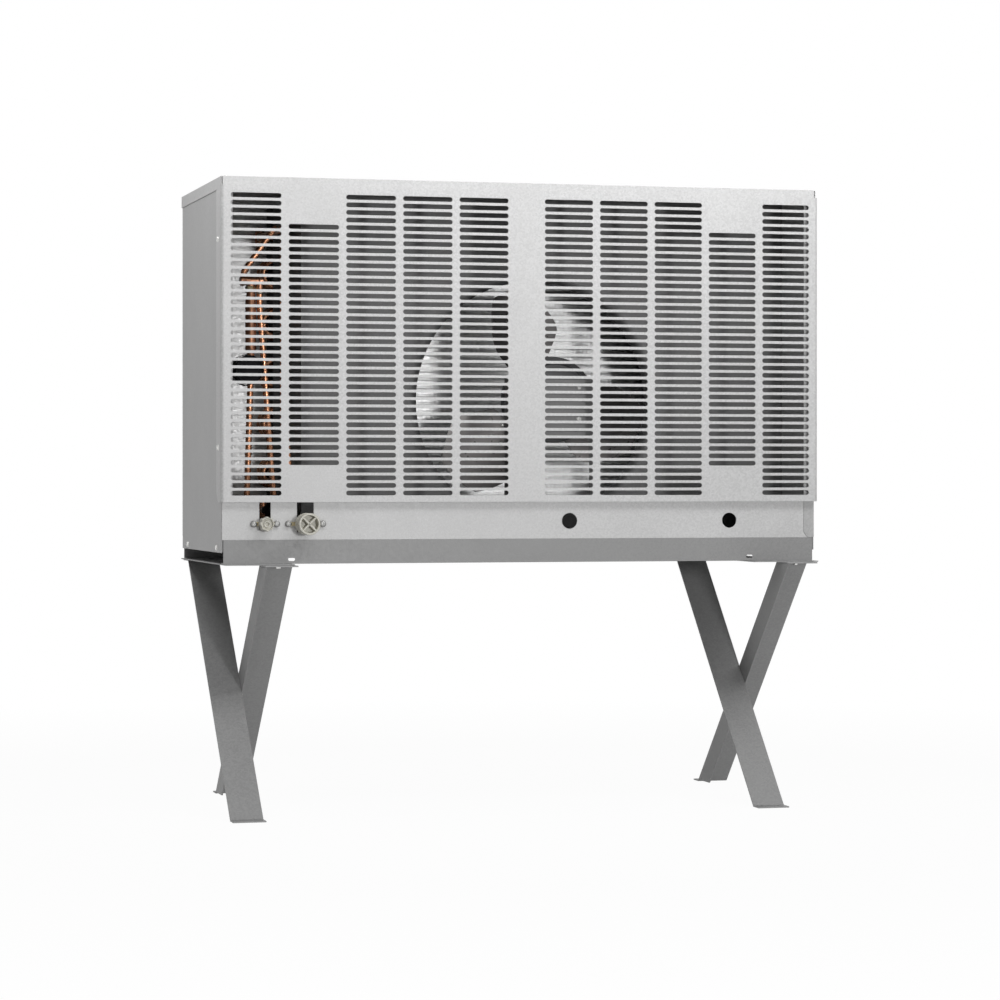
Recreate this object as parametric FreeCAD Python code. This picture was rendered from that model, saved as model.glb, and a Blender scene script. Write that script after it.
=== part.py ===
# Remote condenser: an air-cooled condenser cabinet on two pairs of crossed sheet metal legs.
# X runs to the right, Y to the rear and Z up. The origin lies on the floor, midway between the feet.
import math
import os

import FreeCAD
import Part

V = FreeCAD.Vector

# Clearances
GAP = 0.3                    # between neighbouring pieces
FIT = 0.05                   # radial play of a shaft or plug in its hole

# Sheet thicknesses
SHEET = 1.0                  # cover, side panels, grille, lower panel, shroud
DECK_SHEET = 1.2
RAIL_SHEET = 1.6
LEG_SHEET = 2.0
STAND_SHEET = 1.5
COIL_SHEET = 1.5

# Cabinet
CABINET_WIDTH = 900.0        # over the side panels
CABINET_DEPTH = 350.0        # front plane to rear plane
FRONT_TO_LEG_CROSSING = 172.0
LEG_STAND_HEIGHT = 363.4     # floor to the underside of the rails
BASE_SKIRT_HEIGHT = 34.6
BODY_HEIGHT = 520.9          # top of the deck to the top of the cover
FRONT = -FRONT_TO_LEG_CROSSING
BACK = FRONT + CABINET_DEPTH
HALF_WIDTH = CABINET_WIDTH / 2
BASE_BOTTOM = LEG_STAND_HEIGHT + RAIL_SHEET
DECK_TOP = BASE_BOTTOM + BASE_SKIRT_HEIGHT
TOP = DECK_TOP + BODY_HEIGHT

# Cover
COVER_FLANGE = 17.0
COVER_FRONT_STANDOFF = 3.6
COVER_SLIT = 1.0
COVER_SCREW_INSET = 12.0     # from the front and rear planes of the cabinet
COVER_HALF_WIDTH = HALF_WIDTH + GAP + SHEET

# Side panels
PANEL_FLANGE = 16.0
PANEL_SIDE_DROP = 18.6       # the side wall hangs this far below the deck
PANEL_TOP = TOP - SHEET - GAP
PANEL_CHAMFER_WIDTH = 6.0
PANEL_CHAMFER_HEIGHT = 8.0
PANEL_SCREW_DEPTHS = (40.0, 295.0)
PANEL_SCREW_DROP = 11.6      # below the top of the deck

# Front grille
GRILLE_HALF_WIDTH = COVER_HALF_WIDTH + GAP + SHEET
GRILLE_STANDOFF = 9.5
GRILLE_RISE = 54.0           # deck to the bottom edge of the grille
GRILLE_TOP_DROP = 11.5       # below the top of the cover
GRILLE_BOTTOM = DECK_TOP + GRILLE_RISE
GRILLE_TOP = TOP - GRILLE_TOP_DROP
GRILLE_RETURN = 39.5
GRILLE_CORNER = 3.5
GRILLE_CHAMFER = 14.0
SLOT_WIDTH = 73.9
SLOT_HEIGHT = 6.95
SLOT_COLUMN_PITCH = 84.3
SLOT_ROW_PITCH = 10.94
SLOT_CENTRE_BAND = 55.0
SLOT_FIRST_ROW_DROP = 15.5   # top edge of the grille to the centre of the first row
SLOT_LAST_ROW_RISE = 12.0    # least height of the last row's centre above the bottom edge
SLOT_SIDE_MARGIN = 10.0      # least solid width beside the outer columns
SLOT_ROW_SPAN = GRILLE_TOP - GRILLE_BOTTOM - SLOT_FIRST_ROW_DROP - SLOT_LAST_ROW_RISE
SLOT_ROWS = int(SLOT_ROW_SPAN / SLOT_ROW_PITCH) + 1
SLOT_COLUMN_SPAN = GRILLE_HALF_WIDTH - SLOT_CENTRE_BAND / 2 - SLOT_WIDTH - SLOT_SIDE_MARGIN
SLOT_COLUMNS_PER_SIDE = int(SLOT_COLUMN_SPAN / SLOT_COLUMN_PITCH) + 1
SHORT_COLUMN = 3             # counted outwards from 0 at the central band
SHORT_COLUMN_BLANK_ROWS = 4  # left solid at each end of the short columns
GRILLE_SCREW_INSET = 78.2    # from the top and bottom edges of the grille
GRILLE_SCREW_DEPTH = 12.0

# Lower front panel
LOWER_PANEL_OVERLAP = 4.4    # how far it reaches up behind the grille
LOWER_PANEL_TOP = GRILLE_BOTTOM + LOWER_PANEL_OVERLAP
LOWER_PANEL_LIP = 12.0
KNOCKOUT_RADIUS = 11.1
KNOCKOUT_HEIGHT = 26.0       # above the deck
PLUGGED_KNOCKOUT_INSET = 382.1
OPEN_KNOCKOUT_INSET = 134.1
PLUGGED_KNOCKOUT_X = HALF_WIDTH - PLUGGED_KNOCKOUT_INSET
OPEN_KNOCKOUT_X = HALF_WIDTH - OPEN_KNOCKOUT_INSET
PLUG_RIM = 0.5
PLUG_HEAD = 1.6
PLUG_LENGTH = 5.0
PLUG_SIDES = 12

# Base deck
DECK_INSET = 2.5
DECK_HALF_WIDTH = HALF_WIDTH - DECK_INSET
DECK_LIP = 15.0
DECK_SIDE_FLANGE = 17.6
DRAIN_SLOT_INSET = 102.0     # from the outside of the side panel
DRAIN_SLOT_X = HALF_WIDTH - DRAIN_SLOT_INSET
DRAIN_SLOT_WIDTH = 10.0
DRAIN_SLOT_HEIGHT = 4.8
DRAIN_SLOT_RISE = 6.5        # above the underside of the base
DRAIN_SLOT_CORNER = 1.4

# Rails and legs
RAIL_LENGTH = 400.0
RAIL_WIDTH = 100.0
RAIL_INSET = 2.0
RAIL_OUTER_X = HALF_WIDTH - RAIL_INSET
LEG_WIDTH = 48.1
LEG_FLANGE = 36.0
LEG_SPREAD = 371.1           # how far each leg leans, front to back
FOOT_REACH = 201.2           # the crossing to the bend at the foot, so the legs cross above half height
FOOT_TAB = 23.7
TOP_TAB = 45.0
LEFT_LEGS_INSET = 55.4       # side panel to the plane in which the flanges of a pair meet
RIGHT_LEGS_INSET = 58.3
LEFT_LEGS_X = LEFT_LEGS_INSET - HALF_WIDTH
RIGHT_LEGS_X = HALF_WIDTH - RIGHT_LEGS_INSET
ANCHOR_HOLE_RADIUS = 3.3
ANCHOR_HOLE_INSET = 31.5     # from the left edge of the leg
ANCHOR_HOLE_FROM_EDGE = 9.0
CROSS_BOLT_NECK = 8.0        # square neck of the bolt through the crossed flanges
CROSS_BOLT_HEAD_RADIUS = 8.0
CROSS_BOLT_HEAD_HEIGHT = 4.0
TAB_SCREW_FROM_BEND = 14.0

# Fan, motor and their stand
FAN_X = 52.0
FAN_RISE = 205.0             # above the deck
FAN_Z = DECK_TOP + FAN_RISE
SHROUD_DEPTH = 136.7         # front plane of the cabinet to the shroud
PIPE_BAY_WIDTH = 143.0       # piping compartment at the left
SHROUD_LEFT_X = PIPE_BAY_WIDTH - HALF_WIDTH
ORIFICE_RADIUS = 181.5
ORIFICE_LIP = 10.0
ORIFICE_COLLAR = 24.0
SHROUD_RETURN = 15.0
STAND_DEPTH = 20.0
STAND_HALF_WIDTH = 68.0
STAND_FLANGE = 37.0
STAND_STRIP = 16.0
STAND_PLATE_DROP = 54.6      # axis of the fan to the lower edge of the plate
STAND_PLATE_RISE = 33.4
STAND_PLATE_BOTTOM = FAN_Z - STAND_PLATE_DROP
STAND_TOP = FAN_Z + STAND_PLATE_RISE
STAND_CHAMFER = 8.0
STAND_FOOT = 22.0
STAND_SILL = 18.0
MOTOR_RADIUS = 64.0
MOTOR_BELL_RADIUS = 56.0
MOTOR_BELL_LENGTH = 14.0
MOTOR_BELL_SIDES = 16
MOTOR_LENGTH = 62.0          # shell between its two end bells
SHAFT_RADIUS = 6.35
HUB_RADIUS = 17.0
HUB_LENGTH = 21.5
HUB_SIDES = 12
HUB_PLAY = 0.8               # between the motor and the hub
MOTOR_SCREW_HALF_SPACING_X = 36.0
MOTOR_SCREW_HALF_SPACING_Z = 24.0
MOTOR_SCREW_DROP = 5.0
BLADE_COUNT = 3
BLADE_FIRST_ANGLE = 105.0    # clockwise from the top, seen from the front
BLADE_PITCH = 28.0
BLADE_CURVE_RADIUS = 158.0
BLADE_SHEET = 1.5
BLADE_TIP_PLAY = 11.5
BLADE_TIP_RADIUS = ORIFICE_RADIUS - BLADE_TIP_PLAY
BLADE_ROOT_RADIUS = 50.0
BLADE_ROOT_WIDTH = 74.0
BLADE_WIDTH = 134.0
BLADE_CORNER = 30.0
BLADE_SHOULDER = 0.42        # share of the blade length below its widest point
BLADE_MARGIN_ANGLE = 4.0
SPIDER_SHEET = 2.5
SPIDER_RADIUS = 40.0
SPIDER_SIDES = 12
SPIDER_ROOT_OVERLAP = 6.0
SPIDER_ARM_END = 92.0
SPIDER_ARM_WIDTH = 30.0

# Coil
COIL_THICKNESS = 52.0
COIL_REAR_MARGIN = 8.0       # back of the fins to the rear plane
COIL_DEPTH = CABINET_DEPTH - COIL_REAR_MARGIN - COIL_THICKNESS
BEND_BAY_WIDTH = 38.0        # room for the return bends at the right
COIL_RIGHT_X = HALF_WIDTH - BEND_BAY_WIDTH
COIL_FLOOR_GAP = 2.0
COIL_TOP_DROP = 15.5         # below the top of the cover
COIL_TOP = TOP - COIL_TOP_DROP
TUBE_RADIUS = 6.35
TUBE_PITCH = 38.1
TUBE_ROW_PITCH = 26.0
TUBE_FIRST_RISE = 40.0
TUBE_TOP_MARGIN = 20.0
TUBE_SPAN = COIL_TOP - DECK_TOP - TUBE_FIRST_RISE - TUBE_TOP_MARGIN
TUBES_PER_ROW = 2 * int(TUBE_SPAN / TUBE_PITCH / 2 + 0.5)
BEND_STUB = 6.0
TUBE_SIDES = 6
COIL_FLANGE = 14.0

# Refrigerant piping in the left compartment
HEADER_RADIUS = 7.9
HEADER_HALF_LENGTH = 16.0
HEADER_SIDES = 12
HEADER_STANDOFF = 26.0       # headers stand off the left end plate
LARGE_PIPE_RADIUS = 6.0
SMALL_PIPE_RADIUS = 4.75
PIPE_BEND = 18.0
PIPE_SIDES = 6
PIPE_DEPTH = 150.0           # plane of the upright pipes
DISCHARGE_RISER_INSET = 109.5
DISCHARGE_RISER_DEPTH = 95.0
DISCHARGE_LEAN_RISE = 150.0  # height over which the riser leans from its coupling to its own line
VALVE_INSET = 69.5
VALVE_X = VALVE_INSET - HALF_WIDTH
VALVE_RADIUS = 8.0
VALVE_DROP = 85.7            # top tubes of the coil to the top of the valve body
VALVE_LENGTH = 105.0
VALVE_TOP = DECK_TOP + TUBE_FIRST_RISE + (TUBES_PER_ROW - 1) * TUBE_PITCH - VALVE_DROP
VALVE_BOTTOM = VALVE_TOP - VALVE_LENGTH
VALVE_PORT_REACH = 16.0      # either way from the middle of the valve
VALVE_PORT_RADIUS = 7.5
VALVE_OUTLET_OFFSET = 13.6
VALVE_OUTLET_RADIUS = 5.6
VALVE_OUTLET_LENGTH = 9.0
VALVE_SIDES = 12
RISER_STUB = 25.0            # straight run below the valve
BYPASS_STUB = 6.0
BYPASS_END_GAP = 12.0
CONDENSATE_FOOT_OFFSET = 12.6
CAPACITOR_RADIUS = 21.0
CAPACITOR_LENGTH = 72.0
CAPACITOR_INSET = 50.5
CAPACITOR_RISE = 246.4       # above the deck
CAPACITOR_X = CAPACITOR_INSET - HALF_WIDTH
CAPACITOR_Z = DECK_TOP + CAPACITOR_RISE
CAPACITOR_DEPTH = 55.0
CLIP_WIDTH = 18.0
CLIP_SIDES = 10

# Quick couplings with their dust caps
COUPLING_RISE = 22.8         # above the deck
SMALL_COUPLING_INSET = 63.0
LARGE_COUPLING_INSET = 122.0
SMALL_COUPLING_X = SMALL_COUPLING_INSET - HALF_WIDTH
LARGE_COUPLING_X = LARGE_COUPLING_INSET - HALF_WIDTH
COUPLING_EAR_HALF_HEIGHT = 2.8
COUPLING_EAR_END = 3.4       # middle of a flange screw to the end of its ear
COUPLING_FLANGE_RIM = 1.8
SMALL_COUPLING_RADIUS = 7.0
LARGE_COUPLING_RADIUS = 11.5
SMALL_SCREW_SPACING = 33.2
LARGE_SCREW_SPACING = 50.2
COUPLING_BODY_LENGTH = 24.0
COUPLING_SPIGOT = 9.0
COUPLING_FLANGE = 3.0
SMALL_NOTCH_PLAY = 1.15
LARGE_NOTCH_PLAY = 0.65
CAP_WALL = 2.2
SMALL_CAP_LENGTH = 17.0
LARGE_CAP_LENGTH = 30.0
CAP_FLOOR_FROM_FRONT = 6.0
CAP_RIB_WIDTH = 3.0
CAP_LOBES = 8
CAP_SIDES = 16
CAP_LOBE_RISE = 1.5
CAP_RIB_SETBACK = 1.0

# Terminal box behind the open knockout
BOX_WIDTH = 62.0
BOX_DEPTH = 58.0
BOX_HEIGHT = 50.0

# Fasteners
SCREW_HEAD_RADIUS = 4.8
SCREW_HEAD_HEIGHT = 2.6
SHEET_SCREW_HEAD_RADIUS = 4.2
SHEET_SCREW_HEAD_HEIGHT = 2.0


def depth(distance):
    """Y of a plane that lies this far behind the front plane of the cabinet."""
    return FRONT + distance


def in_plan(z):
    """Places points of a plan view at height z."""
    return lambda a, b: V(a, b, z)


def in_side_view(x):
    """Places points of a side view, given as Y and Z, at x."""
    return lambda a, b: V(x, a, b)


def in_front_view(y):
    """Places points of a front view, given as X and Z, at y."""
    return lambda a, b: V(a, y, b)


def block(x0, x1, y0, y1, z0, z1):
    """Box between two corners."""
    return Part.makeBox(x1 - x0, y1 - y0, z1 - z0, V(x0, y0, z0))


def rod(start, direction, radius, length):
    """Cylinder from its starting point along a direction."""
    return Part.makeCylinder(radius, length, start, direction)


def fused(pieces):
    """One solid out of pieces that touch or overlap."""
    joined = pieces[0].multiFuse(pieces[1:])
    return joined.removeSplitter()


def prism(points, place, direction):
    """Straight extrusion of a closed outline."""
    corners = [place(a, b) for a, b in points]
    outline = Part.makePolygon(corners + [corners[0]])
    return Part.Face(outline).extrude(direction)


def corner_direction(start, end):
    """Unit vector in the plane from one point to the next."""
    length = math.hypot(end[0] - start[0], end[1] - start[1])
    return ((end[0] - start[0]) / length, (end[1] - start[1]) / length)


def offset_points(points, distance):
    """Mitred parallel of an open run of points, to its left where distance is positive."""
    moved = []
    last = len(points) - 1
    for index, (a, b) in enumerate(points):
        before = corner_direction(points[max(index - 1, 0)], points[max(index, 1)])
        after = corner_direction(points[min(index, last - 1)], points[min(index + 1, last)])
        normal = (-before[1] - after[1], before[0] + after[0])
        size = math.hypot(normal[0], normal[1])
        unit = (normal[0] / size, normal[1] / size)
        reach = distance / (unit[0] * -before[1] + unit[1] * before[0])
        moved.append((a + unit[0] * reach, b + unit[1] * reach))
    return moved


def turn_at(points, index):
    """Signed angle through which a run of points turns at one of its corners."""
    before = corner_direction(points[index - 1], points[index])
    after = corner_direction(points[index], points[index + 1])
    cross = before[0] * after[1] - before[1] * after[0]
    return math.atan2(cross, before[0] * after[0] + before[1] * after[1])


def rounded_edges(points, radii, place):
    """Edges along an open run of points, with an arc at each inner corner."""
    edges = []
    start = points[0]
    for index in range(1, len(points) - 1):
        corner = points[index]
        if radii[index] <= 0:
            edges.append(Part.LineSegment(place(*start), place(*corner)).toShape())
            start = corner
            continue
        turn = abs(turn_at(points, index))
        before = corner_direction(points[index - 1], corner)
        after = corner_direction(corner, points[index + 1])
        cut = radii[index] * math.tan(turn / 2)
        entry = (corner[0] - before[0] * cut, corner[1] - before[1] * cut)
        leave = (corner[0] + after[0] * cut, corner[1] + after[1] * cut)
        inward = (after[0] - before[0], after[1] - before[1])
        size = math.hypot(inward[0], inward[1])
        rise = radii[index] * (1 / math.cos(turn / 2) - 1)
        middle = (corner[0] + inward[0] / size * rise, corner[1] + inward[1] / size * rise)
        edges.append(Part.LineSegment(place(*start), place(*entry)).toShape())
        edges.append(Part.Arc(place(*entry), place(*middle), place(*leave)).toShape())
        start = leave
    edges.append(Part.LineSegment(place(*start), place(*points[-1])).toShape())
    return edges


def folded_section(points, thickness, place, inside_radius=0.0):
    """Section of a folded sheet whose middle line runs through the points, sharp where no radius is given."""
    half = thickness / 2
    left_radii = [0.0]
    right_radii = [0.0]
    for index in range(1, len(points) - 1):
        if inside_radius <= 0:
            left_radii.append(0.0)
            right_radii.append(0.0)
            continue
        turns_left = turn_at(points, index) > 0
        left_radii.append(inside_radius if turns_left else inside_radius + thickness)
        right_radii.append(inside_radius + thickness if turns_left else inside_radius)
    left_radii.append(0.0)
    right_radii.append(0.0)
    left = offset_points(points, half)
    right = offset_points(points, -half)
    edges = rounded_edges(left, left_radii, place)
    edges.append(Part.LineSegment(place(*left[-1]), place(*right[-1])).toShape())
    edges += rounded_edges(right[::-1], right_radii[::-1], place)
    edges.append(Part.LineSegment(place(*right[0]), place(*left[0])).toShape())
    return Part.Face(Part.Wire(edges))


def revolved(profile, centre, axis):
    """Full turn of a closed profile, given as radius and distance along the axis."""
    side = V(0, 0, 1) if abs(axis.z) < 0.5 else V(1, 0, 0)
    corners = [centre + side * radius + axis * along for radius, along in profile]
    face = Part.Face(Part.makePolygon(corners + [corners[0]]))
    return face.revolve(centre, axis, 360)


def hex_head(seat, direction, radius, height):
    """Six-sided screw head that stands on its seat."""
    side = V(0, 0, 1) if abs(direction.z) < 0.5 else V(1, 0, 0)
    across = direction.cross(side)
    corners = []
    for step in range(6):
        angle = math.radians(60 * step)
        corners.append(seat + side * (radius * math.cos(angle)) + across * (radius * math.sin(angle)))
    outline = Part.makePolygon(corners + [corners[0]])
    return Part.Face(outline).extrude(direction * height)


def pipe_section(centre, direction, radius, sides):
    """Corners of the regular many-sided section at one end of a pipe."""
    helper = V(0, 0, 1) if abs(direction.z) < 0.9 else V(1, 0, 0)
    first = direction.cross(helper).normalize()
    second = direction.cross(first)
    corners = []
    for step in range(sides):
        angle = 2 * math.pi * (step + 0.5) / sides
        corners.append(centre + first * (radius * math.cos(angle)) + second * (radius * math.sin(angle)))
    return corners


def mitred_tube(points, radius, sides):
    """Tube of straight pieces joined by mitres."""
    ring = pipe_section(points[0], (points[1] - points[0]).normalize(), radius, sides)
    faces = [Part.Face(Part.makePolygon(ring + [ring[0]]))]
    for index in range(1, len(points)):
        run = (points[index] - points[index - 1]).normalize()
        normal = run
        if index + 1 < len(points):
            normal = (run + (points[index + 1] - points[index]).normalize()).normalize()
        next_ring = []
        for corner in ring:
            travel = (points[index] - corner).dot(normal) / run.dot(normal)
            next_ring.append(corner + run * travel)
        for step in range(sides):
            other = (step + 1) % sides
            outline = [ring[step], ring[other], next_ring[other], next_ring[step], ring[step]]
            faces.append(Part.Face(Part.makePolygon(outline)))
        ring = next_ring
    faces.append(Part.Face(Part.makePolygon(ring + [ring[0]])))
    return Part.Solid(Part.Shell(faces))


def pipe(route, radius, bend_radius):
    """Pipe whose corners are each taken in two mitres."""
    points = [route[0]]
    for index in range(1, len(route) - 1):
        before = (route[index] - route[index - 1]).normalize()
        after = (route[index + 1] - route[index]).normalize()
        cut = bend_radius * math.tan(before.getAngle(after) / 2)
        points.append(route[index] - before * cut)
        points.append(route[index] + after * cut)
    points.append(route[-1])
    return mitred_tube(points, radius, PIPE_SIDES)


def make_top_cover():
    """Shallow lid whose flanges hang over the panels, with open corners at the front."""
    y_front = FRONT - COVER_FRONT_STANDOFF
    y_back = BACK + GAP + SHEET
    outer = block(-COVER_HALF_WIDTH, COVER_HALF_WIDTH, y_front, y_back, TOP - COVER_FLANGE, TOP)
    inner_half = COVER_HALF_WIDTH - SHEET
    inner = block(-inner_half, inner_half, y_front + SHEET, y_back - SHEET, TOP - COVER_FLANGE, TOP - SHEET)
    lid = outer.cut(inner)
    slits = []
    for side in (-1, 1):
        x_near = side * inner_half
        x_far = side * (inner_half - COVER_SLIT)
        for y0, y1 in ((y_front, y_front + SHEET), (y_back - SHEET, y_back)):
            slits.append(block(min(x_near, x_far), max(x_near, x_far), y0, y1,
                               TOP - COVER_FLANGE, TOP - SHEET))
    return lid.cut(Part.makeCompound(slits))


def make_side_panel(side):
    """Side wall with front, rear and top flanges."""
    middle = HALF_WIDTH - SHEET / 2
    inner = HALF_WIDTH - PANEL_FLANGE
    half = SHEET / 2
    route = [(side * inner, FRONT + half), (side * middle, FRONT + half),
             (side * middle, BACK - half), (side * inner, BACK - half)]
    section = folded_section(route, SHEET, in_plan(DECK_TOP + GAP))
    wall = section.extrude(V(0, 0, PANEL_TOP - DECK_TOP - GAP))
    x_outer = side * HALF_WIDTH
    x_inner = side * (HALF_WIDTH - SHEET)
    x_low = min(x_outer, x_inner)
    x_high = max(x_outer, x_inner)
    corner = SHEET + GAP
    apron = block(x_low, x_high, FRONT + corner, BACK - corner, DECK_TOP - PANEL_SIDE_DROP, DECK_TOP + GAP)
    x_edge = side * inner
    top_flange = block(min(x_edge, x_inner), max(x_edge, x_inner), FRONT + corner, BACK - corner,
                       PANEL_TOP - SHEET, PANEL_TOP)
    panel = fused([wall, apron, top_flange])
    if side < 0:
        notch = block(-HALF_WIDTH - GAP, -inner + GAP, FRONT, FRONT + SHEET + GAP,
                      DECK_TOP, LOWER_PANEL_TOP + GAP)
        return panel.cut(notch)
    x_corner = inner + PANEL_CHAMFER_WIDTH
    corner_cut = prism([(inner, DECK_TOP), (x_corner, DECK_TOP),
                        (inner, DECK_TOP + GAP + PANEL_CHAMFER_HEIGHT)],
                       in_front_view(FRONT), V(0, SHEET, 0))
    return panel.cut(corner_cut)


def slot_boxes():
    """Straight-ended cutters for every ventilation slot."""
    cutters = []
    face = FRONT - GRILLE_STANDOFF
    for side in (-1, 1):
        for column in range(SLOT_COLUMNS_PER_SIDE):
            middle = side * (SLOT_CENTRE_BAND / 2 + SLOT_WIDTH / 2 + column * SLOT_COLUMN_PITCH)
            blank = SHORT_COLUMN_BLANK_ROWS if column == SHORT_COLUMN else 0
            for row in range(blank, SLOT_ROWS - blank):
                height = GRILLE_TOP - SLOT_FIRST_ROW_DROP - row * SLOT_ROW_PITCH
                cutters.append(block(middle - SLOT_WIDTH / 2, middle + SLOT_WIDTH / 2, face, face + SHEET,
                                     height - SLOT_HEIGHT / 2, height + SLOT_HEIGHT / 2))
    return cutters


def make_front_grille():
    """Slotted front pan whose returns wrap round the side panels."""
    y_front = FRONT - GRILLE_STANDOFF
    middle_x = GRILLE_HALF_WIDTH - SHEET / 2
    middle_y = y_front + SHEET / 2
    y_return = y_front + GRILLE_RETURN
    route = [(-middle_x, y_return), (-middle_x, middle_y), (middle_x, middle_y), (middle_x, y_return)]
    section = folded_section(route, SHEET, in_plan(GRILLE_BOTTOM), GRILLE_CORNER)
    pan = section.extrude(V(0, 0, GRILLE_TOP - GRILLE_BOTTOM))
    lip_half = GRILLE_HALF_WIDTH - SHEET - GRILLE_CORNER
    y_lip = y_front + SHEET
    top_lip = block(-lip_half, lip_half, y_lip, FRONT - COVER_FRONT_STANDOFF - GAP,
                    GRILLE_TOP - SHEET, GRILLE_TOP)
    bottom_lip = block(-lip_half, lip_half, y_lip, FRONT - GAP, GRILLE_BOTTOM, GRILLE_BOTTOM + SHEET)
    pan = fused([pan, top_lip, bottom_lip])
    chamfer = prism([(y_return - GRILLE_CHAMFER, GRILLE_BOTTOM), (y_return, GRILLE_BOTTOM),
                     (y_return, GRILLE_BOTTOM + GRILLE_CHAMFER)],
                    in_side_view(-GRILLE_HALF_WIDTH), V(2 * GRILLE_HALF_WIDTH, 0, 0))
    return pan.cut(chamfer).cut(Part.makeCompound(slot_boxes()))


def coupling_notch(x, half_width):
    """Cutter for a notch that is open at the top, so that the panel lifts off past its coupling."""
    low = DECK_TOP + COUPLING_RISE - half_width
    return block(x - half_width, x + half_width, FRONT, FRONT + LOWER_PANEL_LIP, low, LOWER_PANEL_TOP)


def make_lower_front_panel():
    """Panel below the grille that carries the couplings and the wiring entries."""
    x_left = -HALF_WIDTH + SHEET / 2
    x_right = HALF_WIDTH - PANEL_FLANGE - GAP
    middle_y = FRONT + SHEET / 2
    y_lip = FRONT + LOWER_PANEL_LIP
    route = [(y_lip, DECK_TOP + SHEET / 2), (middle_y, DECK_TOP + SHEET / 2),
             (middle_y, LOWER_PANEL_TOP - SHEET / 2), (y_lip, LOWER_PANEL_TOP - SHEET / 2)]
    section = folded_section(route, SHEET, in_side_view(x_left))
    panel = section.extrude(V(x_right - x_left, 0, 0))
    corner = block(x_left, -HALF_WIDTH + SHEET + GAP, FRONT + SHEET, y_lip, DECK_TOP, LOWER_PANEL_TOP)
    ear = prism([(x_right, DECK_TOP), (x_right + PANEL_CHAMFER_WIDTH - GAP, DECK_TOP),
                 (x_right, DECK_TOP + PANEL_CHAMFER_HEIGHT - GAP)], in_front_view(FRONT), V(0, SHEET, 0))
    panel = fused([panel.cut(corner), ear])
    height = DECK_TOP + KNOCKOUT_HEIGHT
    cutters = [coupling_notch(SMALL_COUPLING_X, SMALL_COUPLING_RADIUS + SMALL_NOTCH_PLAY),
               coupling_notch(LARGE_COUPLING_X, LARGE_COUPLING_RADIUS + LARGE_NOTCH_PLAY)]
    for x in (PLUGGED_KNOCKOUT_X, OPEN_KNOCKOUT_X):
        cutters.append(rod(V(x, FRONT, height), V(0, 1, 0), KNOCKOUT_RADIUS, SHEET))
    return panel.cut(Part.makeCompound(cutters))


def make_hole_plug():
    """Snap-in plug that closes the knockout that isn't used."""
    x = PLUGGED_KNOCKOUT_X
    z = DECK_TOP + KNOCKOUT_HEIGHT
    head = rod(V(x, FRONT, z), V(0, -1, 0), KNOCKOUT_RADIUS + PLUG_RIM, PLUG_HEAD)
    skirt = mitred_tube([V(x, FRONT, z), V(x, FRONT + PLUG_LENGTH, z)], KNOCKOUT_RADIUS - FIT, PLUG_SIDES)
    return fused([head, skirt])


def cornered(a, b, half_width, half_height, cut):
    """Corners of a rectangle about a point, with each corner cut off."""
    return [(a - half_width + cut, b - half_height), (a + half_width - cut, b - half_height),
            (a + half_width, b - half_height + cut), (a + half_width, b + half_height - cut),
            (a + half_width - cut, b + half_height), (a - half_width + cut, b + half_height),
            (a - half_width, b + half_height - cut), (a - half_width, b - half_height + cut)]


def make_base_deck():
    """Deck plate with turned-down skirts front and rear and short flanges at the sides."""
    half = DECK_SHEET / 2
    low = BASE_BOTTOM + half
    high = DECK_TOP - half
    route = [(FRONT + DECK_LIP, low), (FRONT + half, low), (FRONT + half, high),
             (BACK - half, high), (BACK - half, low), (BACK - DECK_LIP, low)]
    section = folded_section(route, DECK_SHEET, in_side_view(-DECK_HALF_WIDTH))
    deck = section.extrude(V(2 * DECK_HALF_WIDTH, 0, 0))
    pieces = [deck]
    flange_outer = HALF_WIDTH - SHEET - GAP
    inset = DECK_SHEET + GAP
    for side in (-1, 1):
        x_near = side * DECK_HALF_WIDTH
        x_far = side * flange_outer
        pieces.append(block(min(x_near, x_far), max(x_near, x_far), FRONT + inset, BACK - inset,
                            DECK_TOP - DECK_SIDE_FLANGE, DECK_TOP))
    deck = fused(pieces)
    slots = []
    slot_z = BASE_BOTTOM + DRAIN_SLOT_RISE
    for x in (-DRAIN_SLOT_X, DRAIN_SLOT_X):
        for y in (FRONT, BACK - DECK_SHEET):
            outline = cornered(x, slot_z, DRAIN_SLOT_WIDTH / 2, DRAIN_SLOT_HEIGHT / 2, DRAIN_SLOT_CORNER)
            slots.append(prism(outline, in_front_view(y), V(0, DECK_SHEET, 0)))
    return deck.cut(Part.makeCompound(slots))


def make_leg_rail(side):
    """Flat strap under the base that a pair of legs is fixed to."""
    x_near = side * RAIL_OUTER_X
    x_far = side * (RAIL_OUTER_X - RAIL_WIDTH)
    middle = (FRONT + BACK) / 2
    return block(min(x_near, x_far), max(x_near, x_far), middle - RAIL_LENGTH / 2, middle + RAIL_LENGTH / 2,
                 LEG_STAND_HEIGHT, BASE_BOTTOM)


def leg_slope():
    """Unit vector up a leg whose foot is at the front, as Y and Z."""
    rise = LEG_STAND_HEIGHT - LEG_SHEET
    length = math.hypot(LEG_SPREAD, rise)
    return (LEG_SPREAD / length, rise / length)


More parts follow.
